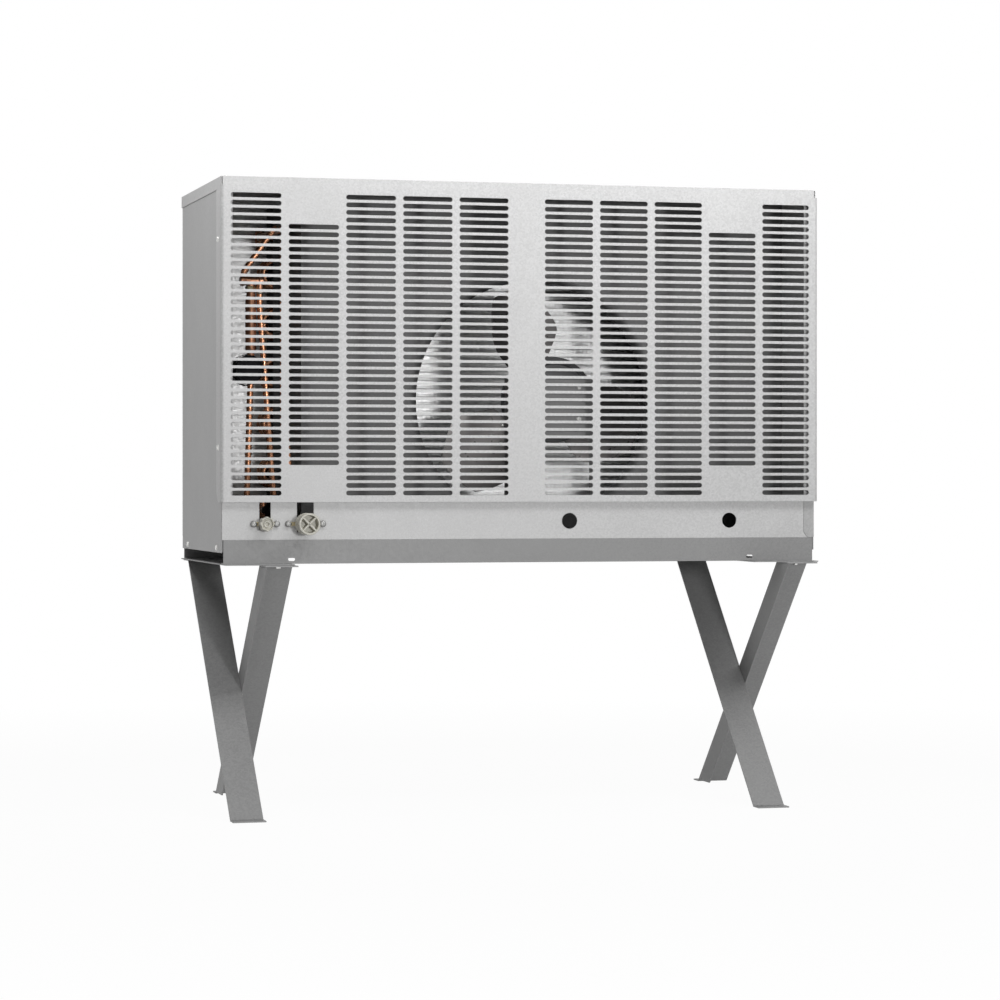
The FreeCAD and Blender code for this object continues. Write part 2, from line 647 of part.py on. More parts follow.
def make_leg(x_joint, foot_at_front):
    """Angle-section leg: a wide face with a tab at each end, and a flange along one edge."""
    lean = 1 if foot_at_front else -1
    half = LEG_SHEET / 2
    y_low = -lean * FOOT_REACH
    y_high = lean * (LEG_SPREAD - FOOT_REACH)
    y_foot = y_low - lean * FOOT_TAB
    y_top = y_high + lean * TOP_TAB
    z_low = half
    z_high = LEG_STAND_HEIGHT - half
    x_face = x_joint - LEG_WIDTH if foot_at_front else x_joint
    route = [(y_foot, z_low), (y_low, z_low), (y_high, z_high), (y_top, z_high)]
    section = folded_section(route, LEG_SHEET, in_side_view(x_face))
    face = section.extrude(V(LEG_WIDTH, 0, 0))
    along_y, along_z = leg_slope()
    trim = LEG_SHEET + GAP
    foot = (y_low + lean * trim * along_y / along_z, trim)
    head = (y_high, LEG_STAND_HEIGHT - trim)
    head = (foot[0] + lean * (head[1] - foot[1]) * along_y / along_z, head[1])
    reach = LEG_FLANGE / along_z
    flange_outline = [foot, (foot[0] + lean * reach, foot[1]), (head[0] + lean * reach, head[1]), head]
    x_flange = x_joint - LEG_SHEET if foot_at_front else x_joint
    flange = prism(flange_outline, in_side_view(x_flange), V(LEG_SHEET, 0, 0))
    leg = fused([face, flange])
    hole_x = x_face + ANCHOR_HOLE_INSET
    hole_y = y_foot + lean * ANCHOR_HOLE_FROM_EDGE
    anchor = rod(V(hole_x, hole_y, 0), V(0, 0, 1), ANCHOR_HOLE_RADIUS, LEG_SHEET)
    neck = CROSS_BOLT_NECK / 2 + FIT
    z = cross_bolt_height()
    bolt = block(x_flange, x_flange + LEG_SHEET, -neck, neck, z - neck, z + neck)
    return leg.cut(anchor).cut(bolt)


def cross_bolt_height():
    """Height of the middle of the diamond where the two flanges of a pair lie back to back."""
    along_y, along_z = leg_slope()
    crossing = LEG_SHEET / 2 + (LEG_STAND_HEIGHT - LEG_SHEET) * FOOT_REACH / LEG_SPREAD
    return crossing - LEG_FLANGE / along_y / 2


def make_cross_bolts():
    """Bolt and nut through the crossed flanges of each pair of legs."""
    pieces = []
    z = cross_bolt_height()
    half = CROSS_BOLT_NECK / 2
    for x in (LEFT_LEGS_X, RIGHT_LEGS_X):
        neck = block(x - LEG_SHEET, x + LEG_SHEET, -half, half, z - half, z + half)
        head = hex_head(V(x - LEG_SHEET, 0, z), V(-1, 0, 0), CROSS_BOLT_HEAD_RADIUS, CROSS_BOLT_HEAD_HEIGHT)
        nut = hex_head(V(x + LEG_SHEET, 0, z), V(1, 0, 0), CROSS_BOLT_HEAD_RADIUS, CROSS_BOLT_HEAD_HEIGHT)
        pieces.append(fused([head, neck, nut]))
    return Part.makeCompound(pieces)


def make_leg_tab_screws():
    """Low screw heads under the top tabs of the legs."""
    heads = []
    y = LEG_SPREAD - FOOT_REACH + TAB_SCREW_FROM_BEND
    z = LEG_STAND_HEIGHT - LEG_SHEET
    for x in (LEFT_LEGS_X, RIGHT_LEGS_X):
        heads.append(hex_head(V(x - LEG_WIDTH / 2, y, z), V(0, 0, -1), SCREW_HEAD_RADIUS, SCREW_HEAD_HEIGHT))
        heads.append(hex_head(V(x + LEG_WIDTH / 2, -y, z), V(0, 0, -1), SCREW_HEAD_RADIUS, SCREW_HEAD_HEIGHT))
    return Part.makeCompound(heads)


def make_fan_shroud():
    """Sheet wall with the drawn fan orifice, closed on the left back to the coil."""
    half = SHEET / 2
    y_face = depth(SHROUD_DEPTH)
    y_coil = depth(COIL_DEPTH) - COIL_SHEET - GAP
    x_left = SHROUD_LEFT_X + half
    x_right = HALF_WIDTH - SHEET - GAP - half
    z_top = PANEL_TOP - SHEET - GAP
    route = [(x_left, y_coil), (x_left, y_face + half), (x_right, y_face + half),
             (x_right, y_face + SHROUD_RETURN)]
    section = folded_section(route, SHEET, in_plan(DECK_TOP))
    sheet = section.extrude(V(0, 0, z_top - DECK_TOP))
    outer = ORIFICE_RADIUS + ORIFICE_LIP
    hole = rod(V(FAN_X, y_face, FAN_Z), V(0, 1, 0), outer, SHEET)
    profile = [(outer, 0), (ORIFICE_RADIUS, ORIFICE_LIP), (ORIFICE_RADIUS, ORIFICE_COLLAR),
               (ORIFICE_RADIUS + SHEET, ORIFICE_COLLAR), (ORIFICE_RADIUS + SHEET, ORIFICE_LIP + half),
               (outer, SHEET)]
    collar = revolved(profile, V(FAN_X, y_face, FAN_Z), V(0, 1, 0))
    return fused([sheet.cut(hole), collar])


def make_coil_fin_pack():
    """Fin pack of the coil, as the block that its closely set fins fill."""
    x_left = SHROUD_LEFT_X + COIL_SHEET
    x_right = COIL_RIGHT_X - COIL_SHEET
    y_front = depth(COIL_DEPTH)
    return block(x_left, x_right, y_front, y_front + COIL_THICKNESS, DECK_TOP + COIL_FLOOR_GAP, COIL_TOP)


def make_coil_end_plate(side):
    """Channel at one end of the coil, with its flanges turned away from the fins."""
    x_face = SHROUD_LEFT_X + COIL_SHEET / 2 if side < 0 else COIL_RIGHT_X - COIL_SHEET / 2
    x_lip = x_face + side * COIL_FLANGE
    y_front = depth(COIL_DEPTH) - COIL_SHEET / 2
    y_back = depth(COIL_DEPTH) + COIL_THICKNESS + COIL_SHEET / 2
    route = [(x_lip, y_front), (x_face, y_front), (x_face, y_back), (x_lip, y_back)]
    section = folded_section(route, COIL_SHEET, in_plan(DECK_TOP))
    return section.extrude(V(0, 0, COIL_TOP - DECK_TOP))


def tube_height(index):
    """Height of one of the coil's tubes, counted from the deck."""
    return DECK_TOP + TUBE_FIRST_RISE + index * TUBE_PITCH


def tube_row_depths():
    """Y of the two rows of tubes."""
    middle = depth(COIL_DEPTH) + COIL_THICKNESS / 2
    return (middle - TUBE_ROW_PITCH / 2, middle + TUBE_ROW_PITCH / 2)


def return_bend(x_face, side, y, z_low):
    """Half turn of tube that joins two neighbouring tubes of a row."""
    bend_radius = TUBE_PITCH / 2
    reach = bend_radius / math.cos(math.radians(45))
    points = [V(x_face, y, z_low)]
    for angle in (45, 135):
        x = x_face + side * (BEND_STUB + reach * math.sin(math.radians(angle)))
        z = z_low + bend_radius - reach * math.cos(math.radians(angle))
        points.append(V(x, y, z))
    points.append(V(x_face, y, z_low + TUBE_PITCH))
    return mitred_tube(points, TUBE_RADIUS, TUBE_SIDES)


def make_return_bends(side):
    """All return bends at one end of the coil."""
    x_face = SHROUD_LEFT_X if side < 0 else COIL_RIGHT_X
    first = 1 if side < 0 else 0
    bends = []
    for y in tube_row_depths():
        for index in range(first, TUBES_PER_ROW - 1, 2):
            bends.append(return_bend(x_face, side, y, tube_height(index)))
    return Part.makeCompound(bends)


def make_header(row, index):
    """Upright header stub that gathers one end of the circuits."""
    y = tube_row_depths()[row]
    x = SHROUD_LEFT_X - HEADER_STANDOFF
    z = tube_height(index)
    reach = HEADER_HALF_LENGTH
    stub = mitred_tube([V(x, y, z), V(SHROUD_LEFT_X, y, z)], TUBE_RADIUS, TUBE_SIDES)
    body = mitred_tube([V(x, y, z - reach), V(x, y, z + reach)], HEADER_RADIUS, HEADER_SIDES)
    return fused([body, stub])


def coupling_height():
    """Height of both couplings."""
    return DECK_TOP + COUPLING_RISE


def make_coupling(x, radius, spacing):
    """Quick coupling: threaded spigot, fixing flange on the panel, and the body behind it."""
    z = coupling_height()
    flange = radius + COUPLING_FLANGE_RIM
    ear = COUPLING_EAR_HALF_HEIGHT
    plate_half = spacing / 2 + COUPLING_EAR_END
    ears = prism([(x - plate_half, z - ear), (x, z - flange), (x + plate_half, z - ear),
                  (x + plate_half, z + ear), (x, z + flange), (x - plate_half, z + ear)],
                 in_front_view(FRONT - COUPLING_FLANGE), V(0, COUPLING_FLANGE, 0))
    spigot = rod(V(x, FRONT - COUPLING_FLANGE - COUPLING_SPIGOT, z), V(0, 1, 0), radius, COUPLING_SPIGOT)
    body = hex_head(V(x, FRONT, z), V(0, 1, 0), radius, COUPLING_BODY_LENGTH)
    return fused([ears, spigot, body])


def make_coupling_screws():
    """Heads of the screws that hold the coupling flanges."""
    heads = []
    for x, spacing in ((SMALL_COUPLING_X, SMALL_SCREW_SPACING), (LARGE_COUPLING_X, LARGE_SCREW_SPACING)):
        for side in (-1, 1):
            seat = V(x + side * spacing / 2, FRONT - COUPLING_FLANGE, coupling_height())
            heads.append(hex_head(seat, V(0, -1, 0), SCREW_HEAD_RADIUS, SCREW_HEAD_HEIGHT))
    return Part.makeCompound(heads)


def cap_seat():
    """Y of the face that both dust caps are pushed on to."""
    return FRONT - COUPLING_FLANGE - GAP


def fluted_core(x, y_start, y_end, radius):
    """Many-sided core of a cap that clears a circle of this radius."""
    z = coupling_height()
    return mitred_tube([V(x, y_start, z), V(x, y_end, z)], radius / math.cos(math.pi / CAP_SIDES), CAP_SIDES)


def make_small_cap():
    """Lobed dust cap of the small coupling, dished at its front."""
    z = coupling_height()
    y_seat = cap_seat()
    bore = SMALL_COUPLING_RADIUS + FIT
    crest = bore + CAP_WALL + CAP_LOBE_RISE
    valley = bore + CAP_WALL
    points = []
    for step in range(3 * CAP_LOBES):
        radius = valley if step % 3 == 0 else crest
        angle = 2 * math.pi * step / (3 * CAP_LOBES)
        points.append((SMALL_COUPLING_X + radius * math.cos(angle), z + radius * math.sin(angle)))
    body = prism(points, in_front_view(y_seat), V(0, -SMALL_CAP_LENGTH, 0))
    x = SMALL_COUPLING_X
    hollow = fluted_core(x, y_seat, y_seat - COUPLING_SPIGOT, bore)
    y_mouth = y_seat - SMALL_CAP_LENGTH
    dish = fluted_core(x, y_mouth, y_mouth + CAP_FLOOR_FROM_FRONT / 2, bore)
    return body.cut(hollow).cut(dish)


def make_large_cap():
    """Dust cap of the large coupling, with crossed ribs in its open end."""
    z = coupling_height()
    x = LARGE_COUPLING_X
    y_seat = cap_seat()
    bore = LARGE_COUPLING_RADIUS + FIT
    outer = bore + 2 * CAP_WALL
    length = LARGE_CAP_LENGTH
    floor = length - 2 * CAP_FLOOR_FROM_FRONT
    mouth = outer - CAP_WALL
    body = rod(V(x, y_seat, z), V(0, -1, 0), outer, length)
    hollow = fluted_core(x, y_seat, y_seat - COUPLING_SPIGOT, bore)
    pocket = fluted_core(x, y_seat - length, y_seat - floor, mouth - CAP_WALL / 2)
    cap = body.cut(hollow).cut(pocket)
    ribs = []
    half = CAP_RIB_WIDTH / 2
    reach = mouth + CAP_WALL / 2
    for angle in (45, 135):
        bar = block(-reach, reach, y_seat - length + CAP_RIB_SETBACK, y_seat - floor, -half, half)
        bar.rotate(V(0, 0, 0), V(0, 1, 0), angle)
        bar.translate(V(LARGE_COUPLING_X, 0, z))
        ribs.append(bar)
    return fused([cap] + ribs)


def make_terminal_box():
    """Wiring tray behind the open knockout, closed at the front by the lower panel."""
    y_low = FRONT + SHEET + GAP
    y_high = y_low + BOX_DEPTH
    z_low = DECK_TOP + SHEET + GAP
    z_high = z_low + BOX_HEIGHT
    x_low = OPEN_KNOCKOUT_X - BOX_WIDTH / 2
    x_high = OPEN_KNOCKOUT_X + BOX_WIDTH / 2
    outer = block(x_low, x_high, y_low, y_high, z_low, z_high)
    inner = block(x_low + SHEET, x_high - SHEET, y_low, y_high - SHEET, z_low + SHEET, z_high - SHEET)
    return outer.cut(inner)


def make_motor_stand():
    """Folded channel that holds the motor in front of the orifice."""
    half = STAND_SHEET / 2
    y_face = depth(STAND_DEPTH)
    x_low = FAN_X - STAND_HALF_WIDTH
    x_high = FAN_X + STAND_HALF_WIDTH
    y_back = y_face + STAND_FLANGE
    route = [(x_low + half, y_back), (x_low + half, y_face + half),
             (x_high - half, y_face + half), (x_high - half, y_back)]
    section = folded_section(route, STAND_SHEET, in_plan(DECK_TOP))
    channel = section.extrude(V(0, 0, STAND_TOP - DECK_TOP))
    window_low = DECK_TOP + STAND_SILL
    x0 = x_low + STAND_STRIP
    x1 = x_high - STAND_STRIP
    z1 = STAND_PLATE_BOTTOM
    window = prism([(x0, window_low), (x1, window_low), (x1, z1 - STAND_CHAMFER), (x1 - STAND_CHAMFER, z1),
                    (x0 + STAND_CHAMFER, z1), (x0, z1 - STAND_CHAMFER)],
                   in_front_view(y_face), V(0, STAND_SHEET, 0))
    inside = STAND_SHEET
    foot = block(x_low + inside, x_high - inside, y_face + STAND_SHEET, y_face + STAND_FOOT,
                 DECK_TOP, DECK_TOP + STAND_SHEET)
    return fused([channel.cut(window), foot])


def motor_front():
    """Y of the face where the motor sits on its stand."""
    return depth(STAND_DEPTH) + STAND_SHEET


def motor_rear():
    """Y of the rear face of the motor."""
    return motor_front() + 2 * MOTOR_BELL_LENGTH + MOTOR_LENGTH


def spider_front():
    """Y of the front face of the spider."""
    return motor_rear() + HUB_PLAY + HUB_LENGTH


def many_sided_bell(y_start):
    """Solid end bell with flats round its rim, starting at this depth."""
    route = [V(FAN_X, y_start, FAN_Z), V(FAN_X, y_start + MOTOR_BELL_LENGTH, FAN_Z)]
    return mitred_tube(route, MOTOR_BELL_RADIUS, MOTOR_BELL_SIDES)


def make_motor_front_bell():
    """End bell that is clamped to the stand."""
    return many_sided_bell(motor_front())


def make_motor_shell():
    """Round shell of the motor between its end bells."""
    start = V(FAN_X, motor_front() + MOTOR_BELL_LENGTH, FAN_Z)
    return rod(start, V(0, 1, 0), MOTOR_RADIUS, MOTOR_LENGTH)


def make_motor_rear_bell():
    """Rear end bell with the bearing bore of the shaft."""
    start = V(FAN_X, motor_rear() - MOTOR_BELL_LENGTH, FAN_Z)
    bore = rod(start, V(0, 1, 0), SHAFT_RADIUS + FIT, MOTOR_BELL_LENGTH)
    return many_sided_bell(start.y).cut(bore)


def make_motor_shaft():
    """Shaft from the bearing bore to the front of the spider."""
    y_start = motor_rear() - MOTOR_BELL_LENGTH + GAP
    y_end = spider_front() - FIT
    return rod(V(FAN_X, y_start, FAN_Z), V(0, 1, 0), SHAFT_RADIUS, y_end - y_start)


def make_motor_mount_screws():
    """Screw heads that clamp the motor to the plate of its stand."""
    heads = []
    y = depth(STAND_DEPTH)
    for x_side in (-1, 1):
        for z_side in (-1, 1):
            x = FAN_X + x_side * MOTOR_SCREW_HALF_SPACING_X
            z = FAN_Z - MOTOR_SCREW_DROP + z_side * MOTOR_SCREW_HALF_SPACING_Z
            heads.append(sheet_screw(V(x, y, z), V(0, -1, 0)))
    return Part.makeCompound(heads)


def make_fan_hub():
    """Hub that clamps the spider to the shaft."""
    start = V(FAN_X, spider_front() - HUB_LENGTH, FAN_Z)
    hub = mitred_tube([start, V(FAN_X, spider_front(), FAN_Z)], HUB_RADIUS, HUB_SIDES)
    return hub.cut(rod(start, V(0, 1, 0), SHAFT_RADIUS + FIT, HUB_LENGTH))


def turned_about_fan(shape, angle):
    """Turns a shape clockwise about the fan's axis, seen from the front."""
    turned = shape.copy()
    turned.rotate(V(FAN_X, 0, FAN_Z), V(0, 1, 0), angle)
    return turned


def blade_angle(index):
    """Clockwise angle of one blade from the top."""
    return BLADE_FIRST_ANGLE + index * 360.0 / BLADE_COUNT


def make_fan_spider():
    """Pressed spider whose twisted arms carry the blades."""
    y = spider_front()
    corners = []
    for step in range(SPIDER_SIDES):
        angle = math.radians(blade_angle(0) + 360.0 / SPIDER_SIDES * (step + 0.5))
        corners.append((FAN_X + SPIDER_RADIUS * math.sin(angle), FAN_Z + SPIDER_RADIUS * math.cos(angle)))
    disc = prism(corners, in_front_view(y), V(0, SPIDER_SHEET, 0))
    arms = []
    half = SPIDER_ARM_WIDTH / 2
    for index in range(BLADE_COUNT):
        arm = block(FAN_X - half, FAN_X + half, y, y + SPIDER_SHEET,
                    FAN_Z + SPIDER_RADIUS - SPIDER_ROOT_OVERLAP, FAN_Z + SPIDER_ARM_END)
        arm.rotate(V(FAN_X, y + SPIDER_SHEET / 2, FAN_Z), V(0, 0, 1), BLADE_PITCH)
        arms.append(turned_about_fan(arm, blade_angle(index)))
    return fused([disc] + arms)


def make_fan_blade(index):
    """One pressed blade: a curved sheet cut to a rounded outline."""
    y_middle = spider_front() + SPIDER_SHEET / 2
    lift = SPIDER_SHEET / 2 + FIT
    outer = BLADE_CURVE_RADIUS
    inner = outer - BLADE_SHEET
    reach = math.degrees(math.asin(BLADE_WIDTH / 2 / outer)) + BLADE_MARGIN_ANGLE
    y_crown = y_middle - lift
    centre_y = y_crown - outer
    tall = BLADE_TIP_RADIUS + GAP

    def on_arc(radius, angle):
        turn = math.radians(angle)
        return V(FAN_X + radius * math.sin(turn), centre_y + radius * math.cos(turn),
                 FAN_Z + BLADE_ROOT_RADIUS / 2)

    edges = [Part.Arc(on_arc(outer, -reach), on_arc(outer, 0), on_arc(outer, reach)).toShape(),
             Part.LineSegment(on_arc(outer, reach), on_arc(inner, reach)).toShape(),
             Part.Arc(on_arc(inner, reach), on_arc(inner, 0), on_arc(inner, -reach)).toShape(),
             Part.LineSegment(on_arc(inner, -reach), on_arc(outer, -reach)).toShape()]
    sheet = Part.Face(Part.Wire(edges)).extrude(V(0, 0, tall))
    root = BLADE_ROOT_WIDTH / 2
    half = BLADE_WIDTH / 2
    z0 = FAN_Z + BLADE_ROOT_RADIUS
    z1 = z0 + BLADE_SHOULDER * (BLADE_TIP_RADIUS - BLADE_ROOT_RADIUS)
    z3 = FAN_Z + BLADE_TIP_RADIUS
    z2 = z3 - 2 * BLADE_CORNER
    outline = [(FAN_X - root, z0), (FAN_X - half, z1), (FAN_X - half, z2), (FAN_X - half + BLADE_CORNER, z3),
               (FAN_X + half - BLADE_CORNER, z3), (FAN_X + half, z2), (FAN_X + half, z1), (FAN_X + root, z0)]
    planform = prism(outline, in_front_view(centre_y), V(0, 2 * outer, 0))
    tip = rod(V(FAN_X, centre_y, FAN_Z), V(0, 1, 0), BLADE_TIP_RADIUS, 2 * outer)
    blade = sheet.common(planform).common(tip)
    blade.rotate(V(FAN_X, y_middle, FAN_Z), V(0, 0, 1), BLADE_PITCH)
    return turned_about_fan(blade, blade_angle(index))


def make_run_capacitor():
    """Round capacitor that lies on the left side panel, with its end towards the front."""
    start = V(CAPACITOR_X, depth(CAPACITOR_DEPTH), CAPACITOR_Z)
    return rod(start, V(0, 1, 0), CAPACITOR_RADIUS, CAPACITOR_LENGTH)


def make_capacitor_clip():
    """Band round the capacitor with a foot on the side panel."""
    y = depth(CAPACITOR_DEPTH + CAPACITOR_LENGTH / 2 - CLIP_WIDTH / 2)
    inner = (CAPACITOR_RADIUS + FIT) / math.cos(math.pi / CLIP_SIDES)
    outer = inner + SHEET
    start = V(CAPACITOR_X, y, CAPACITOR_Z)
    end = V(CAPACITOR_X, y + CLIP_WIDTH, CAPACITOR_Z)
    ring = mitred_tube([start, end], outer, CLIP_SIDES)
    x_wall = -HALF_WIDTH + SHEET
    foot = block(x_wall, x_wall + SHEET, y, y + CLIP_WIDTH, CAPACITOR_Z - outer, CAPACITOR_Z + outer)
    web = block(x_wall, CAPACITOR_X, y, y + CLIP_WIDTH, CAPACITOR_Z - SHEET / 2, CAPACITOR_Z + SHEET / 2)
    core = mitred_tube([start, end], inner, CLIP_SIDES)
    return fused([ring, foot, web]).cut(core)


def valve_port_height():
    """Height of the cross port on top of the valve."""
    return VALVE_TOP + VALVE_PORT_RADIUS


def valve_outlet_end():
    """Lower end of the outlet that hangs from the cross port, where the condensate line starts."""
    z = valve_port_height() - VALVE_PORT_RADIUS - VALVE_OUTLET_LENGTH
    return V(VALVE_X + VALVE_OUTLET_OFFSET, depth(PIPE_DEPTH), z)


def make_head_pressure_valve():
    """Upright valve body in the liquid piping, with a cross port and an outlet at its top."""
    y = depth(PIPE_DEPTH)
    z = valve_port_height()
    body = mitred_tube([V(VALVE_X, y, VALVE_BOTTOM), V(VALVE_X, y, z)], VALVE_RADIUS, VALVE_SIDES)
    end = valve_outlet_end()
    x_low = VALVE_X - VALVE_PORT_REACH
    x_high = end.x + VALVE_OUTLET_RADIUS
    port = mitred_tube([V(x_low, y, z), V(x_high, y, z)], VALVE_PORT_RADIUS, PIPE_SIDES)
    outlet = mitred_tube([end, V(end.x, y, z)], VALVE_OUTLET_RADIUS, VALVE_SIDES)
    return fused([body, port, outlet])


def make_liquid_line():
    """Small pipe from the small coupling up to the valve."""
    y_start = FRONT + COUPLING_BODY_LENGTH
    y = depth(PIPE_DEPTH)
    z = coupling_height()
    route = [V(SMALL_COUPLING_X, y_start, z), V(SMALL_COUPLING_X, y, z),
             V(VALVE_X, y, VALVE_BOTTOM - RISER_STUB), V(VALVE_X, y, VALVE_BOTTOM)]
    return pipe(route, SMALL_PIPE_RADIUS, PIPE_BEND)


def header_x():
    """X of both headers."""
    return SHROUD_LEFT_X - HEADER_STANDOFF


def header_face(row):
    """Y of the flat on the front of a header, where its pipe ends."""
    return tube_row_depths()[row] - HEADER_RADIUS * math.cos(math.pi / HEADER_SIDES)


def make_discharge_line():
    """Large pipe from the large coupling up to the top header of the coil."""
    y_start = FRONT + COUPLING_BODY_LENGTH
    y = depth(DISCHARGE_RISER_DEPTH)
    z = coupling_height()
    x_riser = DISCHARGE_RISER_INSET - HALF_WIDTH
    z_header = tube_height(TUBES_PER_ROW - 1)
    y_end = header_face(1)
    route = [V(LARGE_COUPLING_X, y_start, z), V(LARGE_COUPLING_X, y, z),
             V(x_riser, y, z + DISCHARGE_LEAN_RISE), V(x_riser, y, z_header - PIPE_BEND),
             V(header_x(), y + 2 * PIPE_BEND, z_header),
             V(header_x(), y_end, z_header)]
    return pipe(route, LARGE_PIPE_RADIUS, PIPE_BEND)


def make_bypass_line():
    """Slanting pipe from the cross port of the valve up to the discharge line."""
    y = depth(PIPE_DEPTH)
    x_port = VALVE_X - VALVE_PORT_REACH + LARGE_PIPE_RADIUS
    z_port = valve_port_height() + VALVE_PORT_RADIUS
    x_end = header_x() - BYPASS_END_GAP
    z_end = tube_height(TUBES_PER_ROW - 1)
    route = [V(x_port, y, z_port), V(x_port, y, z_port + BYPASS_STUB), V(x_end, y, z_end),
             V(x_end + BYPASS_END_GAP - LARGE_PIPE_RADIUS, y, z_end)]
    return pipe(route, SMALL_PIPE_RADIUS, PIPE_BEND / 3)


def make_condensate_line():
    """Pipe from the bottom header of the coil up to the outlet of the valve."""
    y = depth(PIPE_DEPTH)
    start = valve_outlet_end()
    x_foot = header_x() - CONDENSATE_FOOT_OFFSET
    z_header = tube_height(0)
    route = [start, start - V(0, 0, PIPE_BEND), V(x_foot, y, z_header + PIPE_BEND),
             V(x_foot, y + 2 * PIPE_BEND, z_header), V(header_x(), header_face(0) - PIPE_BEND, z_header),
             V(header_x(), header_face(0), z_header)]
    return pipe(route, SMALL_PIPE_RADIUS, PIPE_BEND / 2)


def make_rear_access_panel():
    """Panel that closes the piping compartment at the rear."""
    x_low = -HALF_WIDTH + SHEET + GAP
    x_high = SHROUD_LEFT_X - GAP
    z_top = PANEL_TOP - SHEET - GAP
    y = BACK - SHEET - GAP - SHEET
    return block(x_low, x_high, y, y + SHEET, DECK_TOP, z_top)


def sheet_screw(seat, direction):
    """Head of a sheet metal screw."""
    return hex_head(seat, direction, SHEET_SCREW_HEAD_RADIUS, SHEET_SCREW_HEAD_HEIGHT)


def make_cover_screws():
    """Screw heads on top of the cover."""
    heads = []
    x = HALF_WIDTH - PANEL_FLANGE / 2
    for side in (-1, 1):
        for distance in (COVER_SCREW_INSET, CABINET_DEPTH - COVER_SCREW_INSET):
            heads.append(sheet_screw(V(side * x, depth(distance), TOP), V(0, 0, 1)))
    return Part.makeCompound(heads)


def make_side_panel_screws():
    """Screw heads along the bottom of both side panels."""
    heads = []
    for side in (-1, 1):
        for distance in PANEL_SCREW_DEPTHS:
            heads.append(sheet_screw(V(side * HALF_WIDTH, depth(distance), DECK_TOP - PANEL_SCREW_DROP),
                                     V(side, 0, 0)))
    return Part.makeCompound(heads)


def make_grille_screws():
    """Screw heads on the returns of the grille."""
    heads = []
    for side in (-1, 1):
        for height in (GRILLE_BOTTOM + GRILLE_SCREW_INSET, GRILLE_TOP - GRILLE_SCREW_INSET):
            heads.append(sheet_screw(V(side * GRILLE_HALF_WIDTH, depth(GRILLE_SCREW_DEPTH), height),
                                     V(side, 0, 0)))
    return Part.makeCompound(heads)


def all_nodes():
    """Every named piece with its shape."""
    nodes = {
        "top_cover": make_top_cover(),
        "left_side_panel": make_side_panel(-1),
        "right_side_panel": make_side_panel(1),
        "front_grille": make_front_grille(),
        "lower_front_panel": make_lower_front_panel(),
        "rear_access_panel": make_rear_access_panel(),
        "base_deck": make_base_deck(),
        "left_leg_rail": make_leg_rail(-1),
        "right_leg_rail": make_leg_rail(1),
        "left_leg_front_foot": make_leg(LEFT_LEGS_X, True),
        "left_leg_rear_foot": make_leg(LEFT_LEGS_X, False),
        "right_leg_front_foot": make_leg(RIGHT_LEGS_X, True),
        "right_leg_rear_foot": make_leg(RIGHT_LEGS_X, False),
        "leg_cross_bolts": make_cross_bolts(),
        "leg_tab_screws": make_leg_tab_screws(),
        "fan_shroud": make_fan_shroud(),
        "motor_stand": make_motor_stand(),
        "motor_front_bell": make_motor_front_bell(),
        "motor_shell": make_motor_shell(),
        "motor_rear_bell": make_motor_rear_bell(),
        "motor_mount_screws": make_motor_mount_screws(),
        "motor_shaft": make_motor_shaft(),
        "fan_hub": make_fan_hub(),
        "fan_spider": make_fan_spider(),
        "coil_fin_pack": make_coil_fin_pack(),
        "coil_end_plate_left": make_coil_end_plate(-1),
        "coil_end_plate_right": make_coil_end_plate(1),
        "coil_return_bends_left": make_return_bends(-1),
        "coil_return_bends_right": make_return_bends(1),
        "discharge_header": make_header(1, TUBES_PER_ROW - 1),
        "liquid_header": make_header(0, 0),
        "discharge_line": make_discharge_line(),
        "liquid_line": make_liquid_line(),
        "bypass_line": make_bypass_line(),
        "condensate_line": make_condensate_line(),
        "head_pressure_valve": make_head_pressure_valve(),
        "run_capacitor": make_run_capacitor(),
        "capacitor_clip": make_capacitor_clip(),
        "terminal_box": make_terminal_box(),
        "small_coupling": make_coupling(SMALL_COUPLING_X, SMALL_COUPLING_RADIUS, SMALL_SCREW_SPACING),
        "large_coupling": make_coupling(LARGE_COUPLING_X, LARGE_COUPLING_RADIUS, LARGE_SCREW_SPACING),
        "coupling_screws": make_coupling_screws(),
        "small_cap": make_small_cap(),
        "large_cap": make_large_cap(),
        "hole_plug": make_hole_plug(),
        "cover_screws": make_cover_screws(),
        "side_panel_screws": make_side_panel_screws(),
        "grille_screws": make_grille_screws(),
    }
    for index in range(BLADE_COUNT):
        nodes["fan_blade_%d" % (index + 1)] = make_fan_blade(index)
    return nodes


os.makedirs("parts", exist_ok=True)
for name, shape in all_nodes().items():
    shape.exportStep("parts/%s.step" % name)
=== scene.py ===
"""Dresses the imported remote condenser: detailed sheet metal, fan, coil, piping and fittings.

The grille faces -Y. All lengths are in metres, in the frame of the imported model.
A profile of a turned shape lists radii and distances along its axis.
"""
from math import cos, pi, radians, sin, sqrt, tan

import bmesh
import bpy
from mathutils import Matrix, Vector


